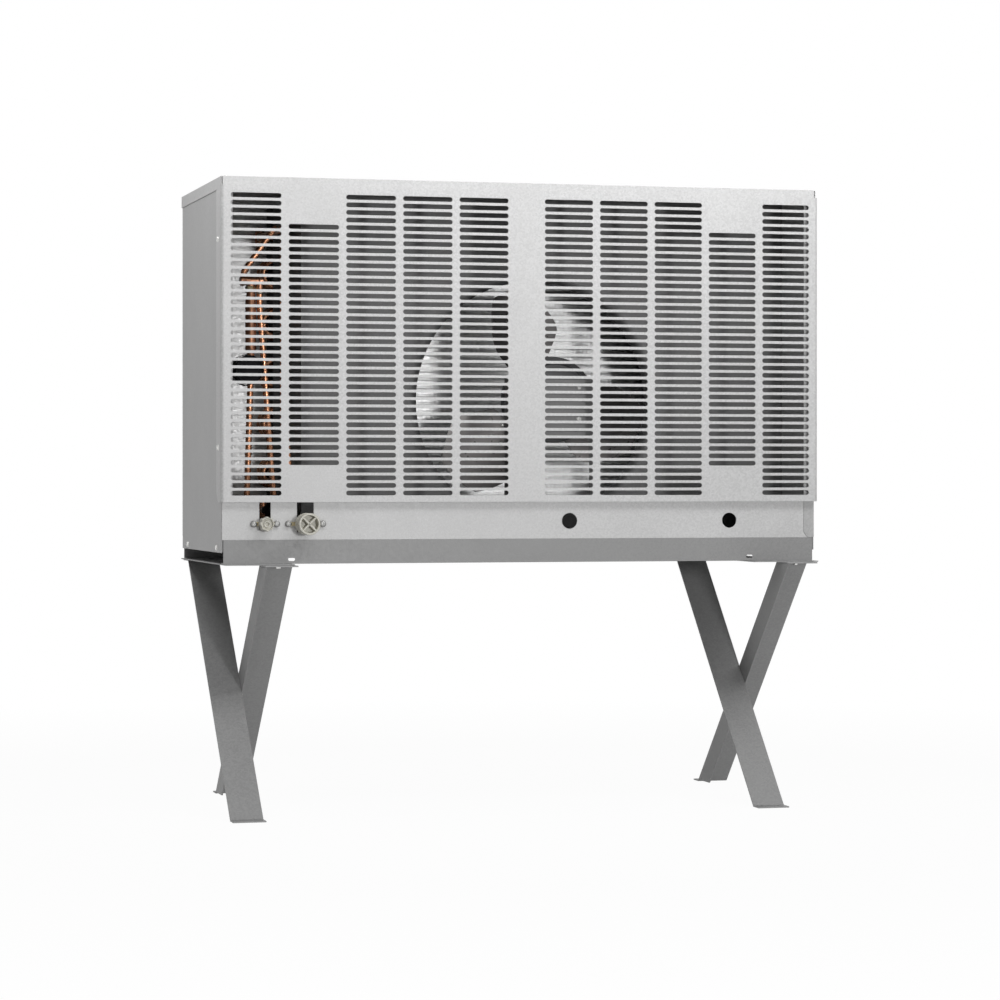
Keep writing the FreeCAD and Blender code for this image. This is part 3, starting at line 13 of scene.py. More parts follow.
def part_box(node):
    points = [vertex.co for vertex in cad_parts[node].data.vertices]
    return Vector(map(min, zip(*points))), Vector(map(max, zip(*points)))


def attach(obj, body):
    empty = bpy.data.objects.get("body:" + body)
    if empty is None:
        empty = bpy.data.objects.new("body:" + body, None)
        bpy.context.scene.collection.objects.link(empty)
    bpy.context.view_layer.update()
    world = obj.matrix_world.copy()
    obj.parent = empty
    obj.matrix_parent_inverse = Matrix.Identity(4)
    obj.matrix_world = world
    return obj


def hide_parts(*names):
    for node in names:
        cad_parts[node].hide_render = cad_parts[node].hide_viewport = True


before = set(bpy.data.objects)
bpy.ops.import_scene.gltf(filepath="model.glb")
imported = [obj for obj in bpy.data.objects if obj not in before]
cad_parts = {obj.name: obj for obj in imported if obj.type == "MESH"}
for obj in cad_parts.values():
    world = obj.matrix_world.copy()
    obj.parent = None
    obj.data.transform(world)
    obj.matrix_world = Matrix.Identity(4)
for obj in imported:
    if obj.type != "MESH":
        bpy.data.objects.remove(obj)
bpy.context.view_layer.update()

# Camera of the photograph
CAMERA_PLACE = (-1.225763, -4.648238, 0.486513)
CAMERA_TURN = radians(14.861)
CAMERA_LENS = 113.915
CAMERA_SENSOR = 36.0
HORIZON_SHIFT = -0.02064

# Sheet metal
SHEET = 0.001
EDGE_BEVEL = 0.0004
SHARP_ANGLE = 35.0
# Copies of one galvanised steel: the side, base, leg and inner copies are darker as painted shade where less
# light falls, and the lining copy is lighter as painted light on top of its rendered reflection.
SHEET_LOOKS = {
    "panel_steel": ("top_cover", "lower_front_panel"),
    "painted_shade_side_steel": ("left_side_panel", "right_side_panel"),
    "painted_light_lining_steel": ("rear_access_panel",),
    "painted_shade_base_steel": ("base_deck",),
    "painted_shade_leg_steel": ("left_leg_rail", "right_leg_rail", "left_leg_front_foot", "left_leg_rear_foot",
                  "right_leg_front_foot", "right_leg_rear_foot"),
    "painted_shade_inner_steel": ("motor_stand", "coil_end_plate_left", "coil_end_plate_right", "terminal_box", "fan_shroud",
                    "capacitor_clip"),
}

# Slots of the grille
SLOT_WIDTH = 0.0739
SLOT_HEIGHT = 0.00695
SLOT_COLUMN_PITCH = 0.0843
SLOT_ROW_PITCH = 0.01094
SLOT_CENTRE_BAND = 0.055
SLOT_FIRST_ROW_DROP = 0.0155
SLOT_ROWS = 40
SLOT_COLUMNS = 5
SHORT_COLUMN = 3
SHORT_COLUMN_BLANK = 4
SLOT_END_STEPS = 8

# Edges of the grille
GRILLE_CORNER = 0.0045
GRILLE_CORNER_STEPS = 8
GRILLE_CHAMFER = 0.014
LIP_GAP = 0.0003

# Coil
FIN_PITCH = 0.0021
FIN_SHEET = 0.0016
FIN_RIPPLE = 0.0003
FIN_WAVES = 40
FIN_STEPS = 4
FIN_PHASE = 0.125
FIN_LEAN = 0.5
FIN_ROW_PITCH = 0.00635
TUBE_RADIUS = 0.00635
TUBE_PITCH = 0.0381
TUBE_ROW_PITCH = 0.026
TUBE_FIRST_RISE = 0.040
TUBES_PER_ROW = 12
BEND_STUB = 0.006
BEND_STEPS = 16
DECK_TOP = 0.3996

# Piping, as routes of corner points
SMALL_PIPE_RADIUS = 0.00475
LARGE_PIPE_RADIUS = 0.006
PIPE_BEND = 0.018
BYPASS_BEND = 0.006
CONDENSATE_BEND = 0.009
BEND_ARC_STEPS = 12
STRAIGHT_TURN = 0.02
HEADER_RADIUS = 0.0078
DISCHARGE_ROUTE = ((-0.328, -0.148, 0.4224), (-0.328, -0.077, 0.4224), (-0.3405, -0.077, 0.5724),
                   (-0.3405, -0.077, 0.8407), (-0.333, -0.041, 0.8587), (-0.333, 0.1496, 0.8587))
LIQUID_ROUTE = ((-0.387, -0.148, 0.4224), (-0.387, -0.022, 0.4224), (-0.3805, -0.022, 0.643),
                (-0.3805, -0.022, 0.668))
BYPASS_ROUTE = ((-0.3905, -0.022, 0.787), (-0.3905, -0.022, 0.794), (-0.345, -0.022, 0.8587),
                (-0.339, -0.022, 0.8587))
CONDENSATE_ROUTE = ((-0.3669, -0.022, 0.764), (-0.3669, -0.022, 0.746), (-0.3456, -0.022, 0.4576),
                    (-0.3456, 0.014, 0.4396), (-0.333, 0.1054, 0.4396), (-0.333, 0.1236, 0.4396))
PIPES = (("discharge_line", DISCHARGE_ROUTE, LARGE_PIPE_RADIUS, PIPE_BEND),
         ("liquid_line", LIQUID_ROUTE, SMALL_PIPE_RADIUS, PIPE_BEND),
         ("bypass_line", BYPASS_ROUTE, SMALL_PIPE_RADIUS, BYPASS_BEND),
         ("condensate_line", CONDENSATE_ROUTE, SMALL_PIPE_RADIUS, CONDENSATE_BEND))
JOINT_GAP = 0.0002

# Foam sleeves on the pipes
SLEEVE_RISE = 0.036
SLEEVE_START = 0.12
LIQUID_SLEEVE_RADIUS = 0.0092
DISCHARGE_SLEEVE_RADIUS = 0.0108
CONDENSATE_SLEEVE_RADIUS = 0.0074
CONDENSATE_SLEEVE_RISE = 0.004
CONDENSATE_SLEEVE_END = 0.9

# Head pressure valve
VALVE_FOOT = (-0.3805, -0.022, 0.668)
VALVE_PORT_START = (-0.3965, -0.022, 0.7805)
VALVE_OUTLET_END = (-0.3669, -0.022, 0.764)
VALVE_OUTLET_MIDDLE_Z = 0.770
VALVE_OUTLET_RADIUS = 0.0055
VALVE_RADIUS = 0.0079
PORT_RADIUS = 0.0074

# Motor
MOTOR_BELL_RADIUS = 0.0558
MOTOR_SHELL_RADIUS = 0.0639
MOTOR_BAND = 0.0068
MOTOR_GROOVES = 7
SHAFT_RADIUS = 0.0063
HUB_RADIUS = 0.0163
HUB_NECK = 0.72
HUB_BORE = 0.00645

# Fan
FAN_X = 0.052
FAN_Z = 0.6046
BLADE_COUNT = 3
BLADE_FIRST_ANGLE = radians(105.0)
BLADE_PITCH = radians(28.0)
BLADE_MIDDLE_Y = -0.03695
BLADE_CROWN = 0.0013
BLADE_CURVE_RADIUS = 0.158
BLADE_TIP_RADIUS = 0.1697
BLADE_ROOT_RADIUS = 0.0503
BLADE_SHEET = 0.0015
BLADE_HALF_WIDTHS = ((0.0, 0.0365), (0.1, 0.044), (0.2, 0.052), (0.3, 0.060), (0.42, 0.0662), (0.5, 0.0668),
                     (0.6, 0.0645), (0.7, 0.060), (0.8, 0.054), (0.9, 0.0465), (0.96, 0.040), (1.0, 0.034))
BLADE_WIDTH_EASING = 0.35
BLADE_ROWS = 26
BLADE_COLUMNS = 22
BLADE_SHARP_ANGLE = 50.0
RIVET_RADIUS = 0.0034
RIVET_PLACES = ((-0.009, 0.060), (0.009, 0.060), (-0.009, 0.084), (0.009, 0.084))
SPIDER_HALF_SHEET = 0.00125
ARM_START = 0.034
ARM_END = 0.0918
ARM_STATIONS = 14
ARM_HALF_WIDTH = 0.015
ARM_TWIST_LENGTH = 0.014
ARM_TAPER_START = 0.9
ARM_TAPER = 0.010
ORIFICE_RIM_Y = -0.0353

# Couplings: node, radius of the spigot, distance between the screws
COUPLINGS = (("small_coupling", 0.0070, 0.0332), ("large_coupling", 0.0115, 0.0502))
SPIGOT_LENGTH = 0.009
THREAD_TURNS = 6
THREAD_END = 0.0008
FLANGE_SHEET = 0.0029
EAR_TIP = 0.0032
EAR_HALF_HEIGHT = 0.0027
EAR_STEPS = 8

# Caps and plug
SMALL_CAP_RADIUS = 0.01072
LARGE_CAP_RADIUS = 0.01592
POCKET_RADIUS = 0.01262
POCKET_DEPTH = 0.0119
RIB_REACH = 0.0128
RIB_HALF_WIDTH = 0.0014
PLUG_NECK_RADIUS = 0.0109

# Fasteners: radius and height of their heads
HEX_HEAD = (0.00418, 0.00195)
LARGE_HEX_HEAD = (0.00475, 0.00255)
PAN_HEAD = (0.0047, 0.00255)
SCREW_FIRST_TURN = 0.7
SCREW_TURN_STEP = 1.9
BOLT_HEAD_RADIUS = 0.0079
BOLT_NECK_HALF = 0.0039

# Stage
WORLD_LEVEL = 0.16
FLOOR_REACH = 12.0
FLOOR_DROP = 0.001
FLOOR_WHITE = 0.965
FLOOR_FADE = (1.0, 2.2)
# Name, place, aim, width, height and power of each lamp
LAMPS = (("front", (0.57, -5.0, 0.68), (0.0, 0.0, 0.68), 0.35, 0.35, 57.0),
         ("overhead", (0.3, -0.85, 1.35), (0.1, -0.1, 0.75), 1.6, 0.4, 8.5),
         ("left", (-0.85, -0.2, 1.35), (-0.45, 0.0, 0.8), 0.5, 0.4, 2.6))

V = Vector
materials = {}


# Materials

def node_tree(name):
    """New material with a Principled shader: its node tree and the shader."""
    material = bpy.data.materials.new(name)
    material.use_nodes = True
    materials[name] = material
    return material.node_tree, material.node_tree.nodes["Principled BSDF"]


def add_node(tree, kind, values, links):
    """New shader node, with values and links for some of its inputs."""
    node = tree.nodes.new("ShaderNode" + kind)
    for socket, value in values.items():
        node.inputs[socket].default_value = value
    for socket, source in links.items():
        tree.links.new(source, node.inputs[socket])
    return node


def object_coordinates(tree, scale=(1.0, 1.0, 1.0)):
    """Output of object coordinates, stretched by the scale."""
    source = tree.nodes.new("ShaderNodeTexCoord")
    return add_node(tree, "Mapping", {"Scale": scale}, {"Vector": source.outputs["Object"]}).outputs["Vector"]


def noise(tree, vector, scale, detail):
    """Factor of a noise texture."""
    values = {"Scale": scale, "Detail": detail, "Roughness": 0.55}
    return add_node(tree, "TexNoise", values, {"Vector": vector}).outputs["Fac"]


def spread(tree, factor, low, high, from_low=0.3, from_high=0.7):
    """A factor taken to a new range."""
    values = {"From Min": from_low, "From Max": from_high, "To Min": low, "To Max": high}
    return add_node(tree, "MapRange", values, {"Value": factor}).outputs["Result"]


def mixed(tree, factor, first, second, kind="MIX"):
    """Colour mixed from two colours or sockets."""
    node = tree.nodes.new("ShaderNodeMix")
    node.data_type = "RGBA"
    node.blend_type = kind
    sockets = [s for s in node.inputs if s.type == "RGBA"]
    for socket, value in zip(sockets, (first, second)):
        if isinstance(value, tuple):
            socket.default_value = value
        else:
            tree.links.new(value, socket)
    tree.links.new(factor, node.inputs["Factor"])
    return [s for s in node.outputs if s.type == "RGBA"][0]


def bumped(tree, shader, height, strength, distance):
    """Connects a height to the shader's normal."""
    node = add_node(tree, "Bump", {"Strength": strength, "Distance": distance}, {"Height": height})
    tree.links.new(node.outputs["Normal"], shader.inputs["Normal"])


def tinted(red, green, blue):
    """Opaque colour."""
    return (red, green, blue, 1.0)


def grey(value):
    """Opaque neutral colour."""
    return tinted(value, value, value)


def galvanised(name, tone, metallic, roughness):
    """Hot-dip galvanised sheet: fine spangle with faint cloudy streaks."""
    tree, shader = node_tree(name)
    place = object_coordinates(tree)
    cells = add_node(tree, "TexVoronoi", {"Scale": 420.0}, {"Vector": place})
    spangle = add_node(tree, "SeparateColor", {}, {"Color": cells.outputs["Color"]}).outputs["Red"]
    cloud = noise(tree, place, 14.0, 5.0)
    grain = noise(tree, place, 900.0, 2.0)
    dark = grey(tone * 0.90)
    light = grey(min(tone * 1.08, 1.0))
    colour = mixed(tree, spread(tree, spangle, 0.0, 1.0, 0.0, 1.0), dark, light)
    shade = mixed(tree, spread(tree, cloud, 0.0, 1.0), grey(0.94), grey(1.0))
    colour = mixed(tree, spread(tree, grain, 0.85, 1.0), colour, shade, "MULTIPLY")
    tree.links.new(colour, shader.inputs["Base Color"])
    uneven = spread(tree, spangle, roughness - 0.07, roughness + 0.07, 0.0, 1.0)
    tree.links.new(uneven, shader.inputs["Roughness"])
    shader.inputs["Metallic"].default_value = metallic
    bumped(tree, shader, grain, 0.12, 0.0002)


def clouded(name, colour, variation, roughness, cloud, grain, bump):
    """Finish of uneven tone with a fine grain.

    The roughness is a range, cloud and grain are a scale and detail each, and bump is a strength and distance.
    """
    tree, shader = node_tree(name)
    place = object_coordinates(tree)
    darker = tinted(*[c * (1.0 - variation) for c in colour])
    lighter = tinted(*[min(c * (1.0 + variation), 1.0) for c in colour])
    tone = spread(tree, noise(tree, place, *cloud), 0.0, 1.0)
    relief = noise(tree, place, *grain)
    tree.links.new(mixed(tree, tone, darker, lighter), shader.inputs["Base Color"])
    tree.links.new(spread(tree, relief, *roughness), shader.inputs["Roughness"])
    bumped(tree, shader, relief, *bump)
    return shader


def metal(name, colour, roughness, variation, scale, metallic=1.0, bump=0.1):
    """Plain metal with uneven tone and a fine grain."""
    limits = (roughness - 0.08, roughness + 0.08)
    shader = clouded(name, colour, variation, limits, (scale, 5.0), (scale * 12.0, 3.0), (bump, 0.0003))
    shader.inputs["Metallic"].default_value = metallic


def plastic(name, colour, roughness, variation=0.05, ior=1.5):
    """Moulded plastic with a faint orange-peel surface."""
    limits = (roughness - 0.05, roughness + 0.05)
    shader = clouded(name, colour, variation, limits, (60.0, 3.0), (1400.0, 2.0), (0.15, 0.0001))
    shader.inputs["IOR"].default_value = ior


def fin_metal(name):
    """Bright fin stock whose corrugations show as fine level rows: bumps, and painted light and shade that make
    the rows lighter and darker in colour.
    """
    tree, shader = node_tree(name)
    values = {"Scale": 2 * pi / (20.0 * FIN_ROW_PITCH), "Distortion": 1.2, "Detail": 2.0, "Detail Scale": 3.0}
    rows = add_node(tree, "TexWave", values, {"Vector": object_coordinates(tree)})
    rows.bands_direction = "Z"
    rows = rows.outputs["Fac"]
    speckle = noise(tree, object_coordinates(tree, (470.0, 60.0, 210.0)), 1.0, 2.0)
    # Painted light and shade: the rows lighten and darken the fin colour like lit corrugation crests and shaded
    # troughs.
    colour = mixed(tree, spread(tree, rows, 0.0, 1.0, 0.1, 0.9), grey(0.74), grey(1.0))
    colour = mixed(tree, spread(tree, speckle, 0.5, 1.0), grey(0.72), colour)
    tree.links.new(colour, shader.inputs["Base Color"])
    tree.links.new(spread(tree, speckle, 0.30, 0.42), shader.inputs["Roughness"])
    shader.inputs["Metallic"].default_value = 0.85
    bumped(tree, shader, rows, 0.35, 0.0006)


def make_materials():
    """Every finish in the scene."""
    galvanised("panel_steel", 0.56, 0.12, 0.50)
    # Painted shade and light: the side, base, leg and inner copies are darkened, and the lining copy is
    # lightened.
    galvanised("painted_shade_side_steel", 0.44, 0.12, 0.50)
    galvanised("painted_light_lining_steel", 0.68, 0.48, 0.42)
    galvanised("painted_shade_base_steel", 0.25, 0.25, 0.52)
    galvanised("painted_shade_leg_steel", 0.31, 0.22, 0.55)
    galvanised("painted_shade_inner_steel", 0.17, 0.25, 0.55)
    fin_metal("fin_aluminium")
    # The blade colour is darkened far below bare aluminium as painted shade, for blades that sit in shadow.
    metal("blade_aluminium", (0.155, 0.148, 0.145), 0.34, 0.04, 9.0, metallic=0.7, bump=0.03)
    metal("zinc_screws", (0.80, 0.80, 0.78), 0.24, 0.10, 120.0)
    metal("steel_screws", (0.24, 0.24, 0.235), 0.42, 0.12, 120.0)
    metal("fan_steel", (0.36, 0.36, 0.36), 0.35, 0.10, 60.0)
    metal("copper", (0.62, 0.30, 0.17), 0.28, 0.22, 30.0)
    metal("aged_copper", (0.36, 0.18, 0.11), 0.34, 0.35, 45.0)
    metal("brass", (0.42, 0.36, 0.23), 0.34, 0.14, 60.0)
    metal("solder", (0.55, 0.50, 0.42), 0.35, 0.15, 160.0)
    metal("black_enamel", (0.020, 0.020, 0.022), 0.38, 0.15, 50.0, metallic=0.0)
    plastic("capacitor_black", (0.008, 0.008, 0.009), 0.60, ior=1.2)
    plastic("foam_black", (0.010, 0.010, 0.010), 0.85, 0.25, ior=1.2)
    plastic("black_plastic", (0.010, 0.010, 0.010), 0.60, ior=1.2)
    plastic("cream_plastic", (0.58, 0.565, 0.50), 0.42)


# Meshes

def linked(name, data):
    """New object in the scene."""
    thing = bpy.data.objects.new(name, data)
    bpy.context.scene.collection.objects.link(thing)
    return thing


def written(work, mesh):
    """Writes an edited mesh back and ends the editing."""
    work.to_mesh(mesh)
    work.free()
    return mesh


def mesh_of(name, vertices, faces):
    """Mesh from vertices and faces, with outward normals."""
    mesh = bpy.data.meshes.new(name)
    mesh.from_pydata([tuple(v) for v in vertices], [], faces)
    work = bmesh.new()
    work.from_mesh(mesh)
    bmesh.ops.remove_doubles(work, verts=work.verts, dist=1e-7)
    bmesh.ops.recalc_face_normals(work, faces=work.faces)
    return written(work, mesh)


def joined(name, meshes):
    """One mesh out of several."""
    work = bmesh.new()
    for mesh in meshes:
        work.from_mesh(mesh)
    return written(work, bpy.data.meshes.new(name))


def add_piece(name, data, body, slot, material, *replaced):
    """Puts a mesh in the scene as a piece of a body."""
    piece = linked(name, data)
    data.materials.clear()
    data.materials.append(materials[material])
    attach(piece, body)
    if replaced:
        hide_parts(*replaced)
    return piece


def soften(piece, width=EDGE_BEVEL, segments=2, angle=SHARP_ANGLE):
    """Small rounding on every sharp edge."""
    weld = piece.modifiers.new("weld", "WELD")
    weld.merge_threshold = 0.00001
    bevel = piece.modifiers.new("soft_edges", "BEVEL")
    bevel.width = width
    bevel.segments = segments
    bevel.limit_method = "ANGLE"
    bevel.angle_limit = radians(angle)


def smooth_by_angle(mesh, angle=SHARP_ANGLE):
    """Smooth shading except across sharp edges."""
    mesh.shade_smooth()
    work = bmesh.new()
    work.from_mesh(mesh)
    limit = radians(angle)
    for edge in work.edges:
        if len(edge.link_faces) == 2 and edge.calc_face_angle(0.0) > limit:
            edge.smooth = False
    return written(work, mesh)


def skinned(name, rings):
    """Mesh over a run of rings with as many points each, closed at both ends."""
    sides = len(rings[0])
    last = (len(rings) - 1) * sides
    faces = [list(range(sides)), list(range(last + sides - 1, last - 1, -1))]
    for base in range(0, last, sides):
        for side in range(sides):
            after = (side + 1) % sides
            faces.append([base + side, base + after, base + sides + after, base + sides + side])
    return mesh_of(name, [point for ring in rings for point in ring], faces)


def extruded(name, outline, offset):
    """Prism from a closed run of points along an offset."""
    return skinned(name, [outline, [point + offset for point in outline]])


def boxed(name, low, high):
    """Plain block between two corners, for use inside a larger mesh."""
    (left, front, bottom), (right, back, top) = low, high
    corners = ((left, front), (right, front), (right, back), (left, back))
    return extruded(name, [V((x, y, bottom)) for x, y in corners], V((0, 0, top - bottom)))


def arc_points(centre, radius, start, end, steps):
    """Points along an arc in a plane, angles in radians."""
    points = []
    for step in range(steps + 1):
        angle = start + (end - start) * step / steps
        points.append((centre[0] + radius * cos(angle), centre[1] + radius * sin(angle)))
    return points


def turned(name, profile, centre, axis, steps, closed=False, flutes=0, flute_depth=0.0, flute_from=1.0):
    """Surface of revolution of a profile, fluted beyond a radius."""
    axis = V(axis).normalized()
    side = axis.orthogonal().normalized()
    other = axis.cross(side)
    centre = V(centre)
    vertices = []
    for step in range(steps):
        angle = 2 * pi * step / steps
        out = side * cos(angle) + other * sin(angle)
        dip = flute_depth * (0.5 - 0.5 * cos(flutes * angle))
        for radius, along in profile:
            reach = radius - dip if radius >= flute_from else radius
            vertices.append(centre + out * reach + axis * along)
    count = len(profile)
    faces = []
    for step in range(steps):
        base = step * count
        after = (step + 1) % steps * count
        for index in range(count if closed else count - 1):
            following = (index + 1) % count
            faces.append([base + index, base + following, after + following, after + index])
    return smooth_by_angle(mesh_of(name, vertices, faces))


def rounded_route(route, bend):
    """Points of a pipe's centre line, with an arc at each corner of its route."""
    points = [V(route[0])]
    for index in range(1, len(route) - 1):
        corner = V(route[index])
        before = (corner - V(route[index - 1])).normalized()
        after = (V(route[index + 1]) - corner).normalized()
        turn = before.angle(after)
        if turn < STRAIGHT_TURN:
            points.append(corner)
            continue
        cut = bend * tan(turn / 2)
        start = corner - before * cut
        end = corner + after * cut
        centre = corner + (after - before).normalized() * (bend / cos(turn / 2))
        for step in range(BEND_ARC_STEPS + 1):
            share = step / BEND_ARC_STEPS
            arm = (start - centre).normalized().slerp((end - centre).normalized(), share)
            points.append(centre + arm * bend)
    points.append(V(route[-1]))
    return points


def flat_sheet(name, outline, holes, front):
    """Sheet across the Y axis with holes, its front face at a depth."""
    curve = bpy.data.curves.new(name, "CURVE")
    curve.dimensions = "2D"
    curve.fill_mode = "BOTH"
    curve.extrude = SHEET / 2
    for loop in [outline] + holes:
        spline = curve.splines.new("POLY")
        spline.points.add(len(loop) - 1)
        for target, (x, z) in zip(spline.points, loop):
            target.co = (x, z, 0.0, 1.0)
        spline.use_cyclic_u = True
    carrier = linked(name, curve)
    bpy.context.view_layer.update()
    mesh = bpy.data.meshes.new_from_object(carrier)
    bpy.data.objects.remove(carrier)
    mesh.transform(Matrix.Rotation(pi / 2, 4, "X"))
    mesh.transform(Matrix.Translation((0, front + SHEET / 2, 0)))
    mesh.shade_flat()
    return mesh


def tube_mesh(name, points, radius, sides):
    """Round tube along points, closed at both ends."""
    points = [V(point) for point in points]
    last = len(points) - 1
    rings = []
    normal = None
    for index, point in enumerate(points):
        ahead = (points[min(index + 1, last)] - points[max(index - 1, 0)]).normalized()
        if normal is None:
            normal = ahead.orthogonal()
        normal = (normal - ahead * normal.dot(ahead)).normalized()
        across = ahead.cross(normal)
        ring = []
        for step in range(sides):
            angle = 2 * pi * step / sides
            ring.append(point + (normal * cos(angle) + across * sin(angle)) * radius)
        rings.append(ring)
    return smooth_by_angle(skinned(name, rings))


def hulled(name, points):
    """Convex mesh round points."""
    work = bmesh.new()
    for point in points:
        work.verts.new(point)
    hull = bmesh.ops.convex_hull(work, input=work.verts)
    loose = [item for item in hull["geom_interior"] + hull["geom_unused"] if isinstance(item, bmesh.types.BMVert)]
    bmesh.ops.delete(work, geom=list(set(loose)), context="VERTS")
    bmesh.ops.dissolve_limit(work, angle_limit=0.01, verts=work.verts, edges=work.edges)
    return smooth_by_angle(written(work, bpy.data.meshes.new(name)))


def hexagonal(name, centre, axis, radius, length, chamfer):
    """Six-sided bar whose two ends are chamfered."""
    profile = [(0.0, 0.0), (radius - chamfer, 0.0), (radius, chamfer), (radius, length - chamfer),
               (radius - chamfer, length), (0.0, length)]
    return turned(name, profile, centre, axis, 6)


def placed(mesh, centre, axis, turn):
    """Copy of a mesh made along +Z: rolled by a turn, pointed along an axis and moved to a centre."""
    copy = mesh.copy()
    copy.transform(Matrix.Rotation(turn, 4, "Z"))
    copy.transform(V(axis).to_track_quat("Z", "Y").to_matrix().to_4x4())
    copy.transform(Matrix.Translation(centre))
    return copy


def cut_away(name, body, cutters):
    """A mesh with others cut out of it."""
    carriers = [linked("carrier", mesh) for mesh in [body] + cutters]
    for cutter in carriers[1:]:
        modifier = carriers[0].modifiers.new("cut", "BOOLEAN")
        modifier.operation = "DIFFERENCE"
        modifier.solver = "EXACT"
        modifier.object = cutter
    bpy.context.view_layer.update()
    graph = bpy.context.evaluated_depsgraph_get()
    result = bpy.data.meshes.new_from_object(carriers[0].evaluated_get(graph))
    result.name = name
    for carrier in carriers:
        bpy.data.objects.remove(carrier)
    return smooth_by_angle(result)


def islands(node):
    """Boxes of the separate solids in a CAD node, as lowest and highest corners."""
    work = bmesh.new()
    work.from_mesh(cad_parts[node].data)
    bmesh.ops.remove_doubles(work, verts=work.verts, dist=1e-6)
    waiting = set(work.verts)
    found = []
    while waiting:
        stack = [waiting.pop()]
        members = []
        while stack:
            vertex = stack.pop()
            members.append(vertex.co.copy())
            near = {edge.other_vert(vertex) for edge in vertex.link_edges} & waiting
            waiting -= near
            stack += near
        found.append([V([pick(p[axis] for p in members) for axis in range(3)]) for pick in (min, max)])
    work.free()
    return sorted(found, key=lambda pair: tuple(round(c, 6) for c in pair[0]))


def measured(node):
    """Lowest and highest corners of a node, its middle, and its length along Y."""
    low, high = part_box(node)
    return low, high, (low + high) / 2, high.y - low.y


# Sheet metal

def slot_loop(middle_x, middle_z):
    """Outline of one ventilation slot with round ends."""
    radius = SLOT_HEIGHT / 2
    reach = SLOT_WIDTH / 2 - radius
    quarter = pi / 2
    right = arc_points((middle_x + reach, middle_z), radius, -quarter, quarter, SLOT_END_STEPS)
    left = arc_points((middle_x - reach, middle_z), radius, quarter, 3 * quarter, SLOT_END_STEPS)
    return right + left


def slot_loops(top):
    """Every slot of the grille, whose top edge is at this height."""
    loops = []
    for side in (-1, 1):
        for column in range(SLOT_COLUMNS):
            middle = side * (SLOT_CENTRE_BAND / 2 + SLOT_WIDTH / 2 + column * SLOT_COLUMN_PITCH)
            blank = SHORT_COLUMN_BLANK if column == SHORT_COLUMN else 0
            for row in range(blank, SLOT_ROWS - blank):
                loops.append(slot_loop(middle, top - SLOT_FIRST_ROW_DROP - row * SLOT_ROW_PITCH))
    return loops


def grille_side(side, low, high):
    """Rounded corner and chamfered return at one side of the grille."""
    centre = (side * (high.x - GRILLE_CORNER), low.y + GRILLE_CORNER)
    start = -pi / 2
    end = 0.0 if side > 0 else -pi
    outer = arc_points(centre, GRILLE_CORNER, start, end, GRILLE_CORNER_STEPS)
    inner = arc_points(centre, GRILLE_CORNER - SHEET, end, start, GRILLE_CORNER_STEPS)
    ring = [V((x, y, low.z)) for x, y in outer + inner]
    outline = [(low.y + GRILLE_CORNER, low.z), (high.y - GRILLE_CHAMFER, low.z),
               (high.y, low.z + GRILLE_CHAMFER), (high.y, high.z), (low.y + GRILLE_CORNER, high.z)]
    x = high.x - SHEET if side > 0 else -high.x
    return [extruded("grille_corner", ring, V((0, 0, high.z - low.z))),
            extruded("grille_return", [V((x, y, z)) for y, z in outline], V((SHEET, 0, 0)))]


def make_grille():
    """Front pan: slotted face, rounded corners, chamfered returns and narrow lips."""
    low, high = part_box("front_grille")
    half = high.x - GRILLE_CORNER
    outline = [(-half, low.z), (half, low.z), (half, high.z), (-half, high.z)]
    face = flat_sheet("grille_face", outline, slot_loops(high.z), low.y)
    parts = [face] + grille_side(-1, low, high) + grille_side(1, low, high)
    cover_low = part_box("top_cover")[0]
    panel_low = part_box("lower_front_panel")[0]
    for z, end in ((high.z - SHEET, cover_low.y), (low.z, panel_low.y)):
        parts.append(boxed("grille_lip", (-half, low.y + SHEET, z), (half, end - LIP_GAP, z + SHEET)))
    pan = joined("grille_pan", parts)
    add_piece("grille_pan", pan, "cabinet", "galvanised_sheet", "panel_steel", "front_grille")


def dress_sheet_nodes():
    """Finish and softened edges for the CAD sheets that stay; some finishes are copies of the steel darkened or
    lightened as painted shade and light.
    """
    for look, nodes in SHEET_LOOKS.items():
        for node in nodes:
            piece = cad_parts[node]
            piece.data.materials.clear()
            piece.data.materials.append(materials[look])
            soften(piece)


# Coil

def fin_mesh(low, high):
    """One upright fin whose edges waver slightly."""
    steps = FIN_WAVES * FIN_STEPS
    half = FIN_SHEET / 2
    rings = []
    for step in range(steps + 1):
        share = step / steps
        z = low.z + (high.z - low.z) * share
        wave = FIN_RIPPLE * sin(2 * pi * (FIN_WAVES * share + FIN_PHASE))
        x = low.x + half + FIN_RIPPLE + wave * FIN_LEAN
        y = low.y + FIN_RIPPLE + wave
        rings.append([(x - half, y, z), (x + half, y, z), (x + half, high.y, z), (x - half, high.y, z)])
    return smooth_by_angle(skinned("fin", rings))


def make_coil():
    """Closely set fins, and the tubes that run through them."""
    low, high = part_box("coil_fin_pack")
    fins = add_piece("coil_fins", fin_mesh(low, high), "cabinet", "coil_fins", "fin_aluminium", "coil_fin_pack")
    array = fins.modifiers.new("fins", "ARRAY")
    array.use_relative_offset = False
    array.use_constant_offset = True
    array.constant_offset_displace = (FIN_PITCH, 0.0, 0.0)
    array.count = int((high.x - low.x - 2 * FIN_SHEET) / FIN_PITCH)
    tubes = []
    for y in tube_rows():
        for index in range(TUBES_PER_ROW):
            z = tube_height(index)
            tubes.append(tube_mesh("tube", [(low.x, y, z), (0.0, y, z), (high.x, y, z)], TUBE_RADIUS, 12))
    add_piece("coil_tubes", joined("coil_tubes", tubes), "cabinet", "copper_tube", "copper")


def tube_height(index):
    """Height of one of the coil's tubes."""
    return DECK_TOP + TUBE_FIRST_RISE + index * TUBE_PITCH


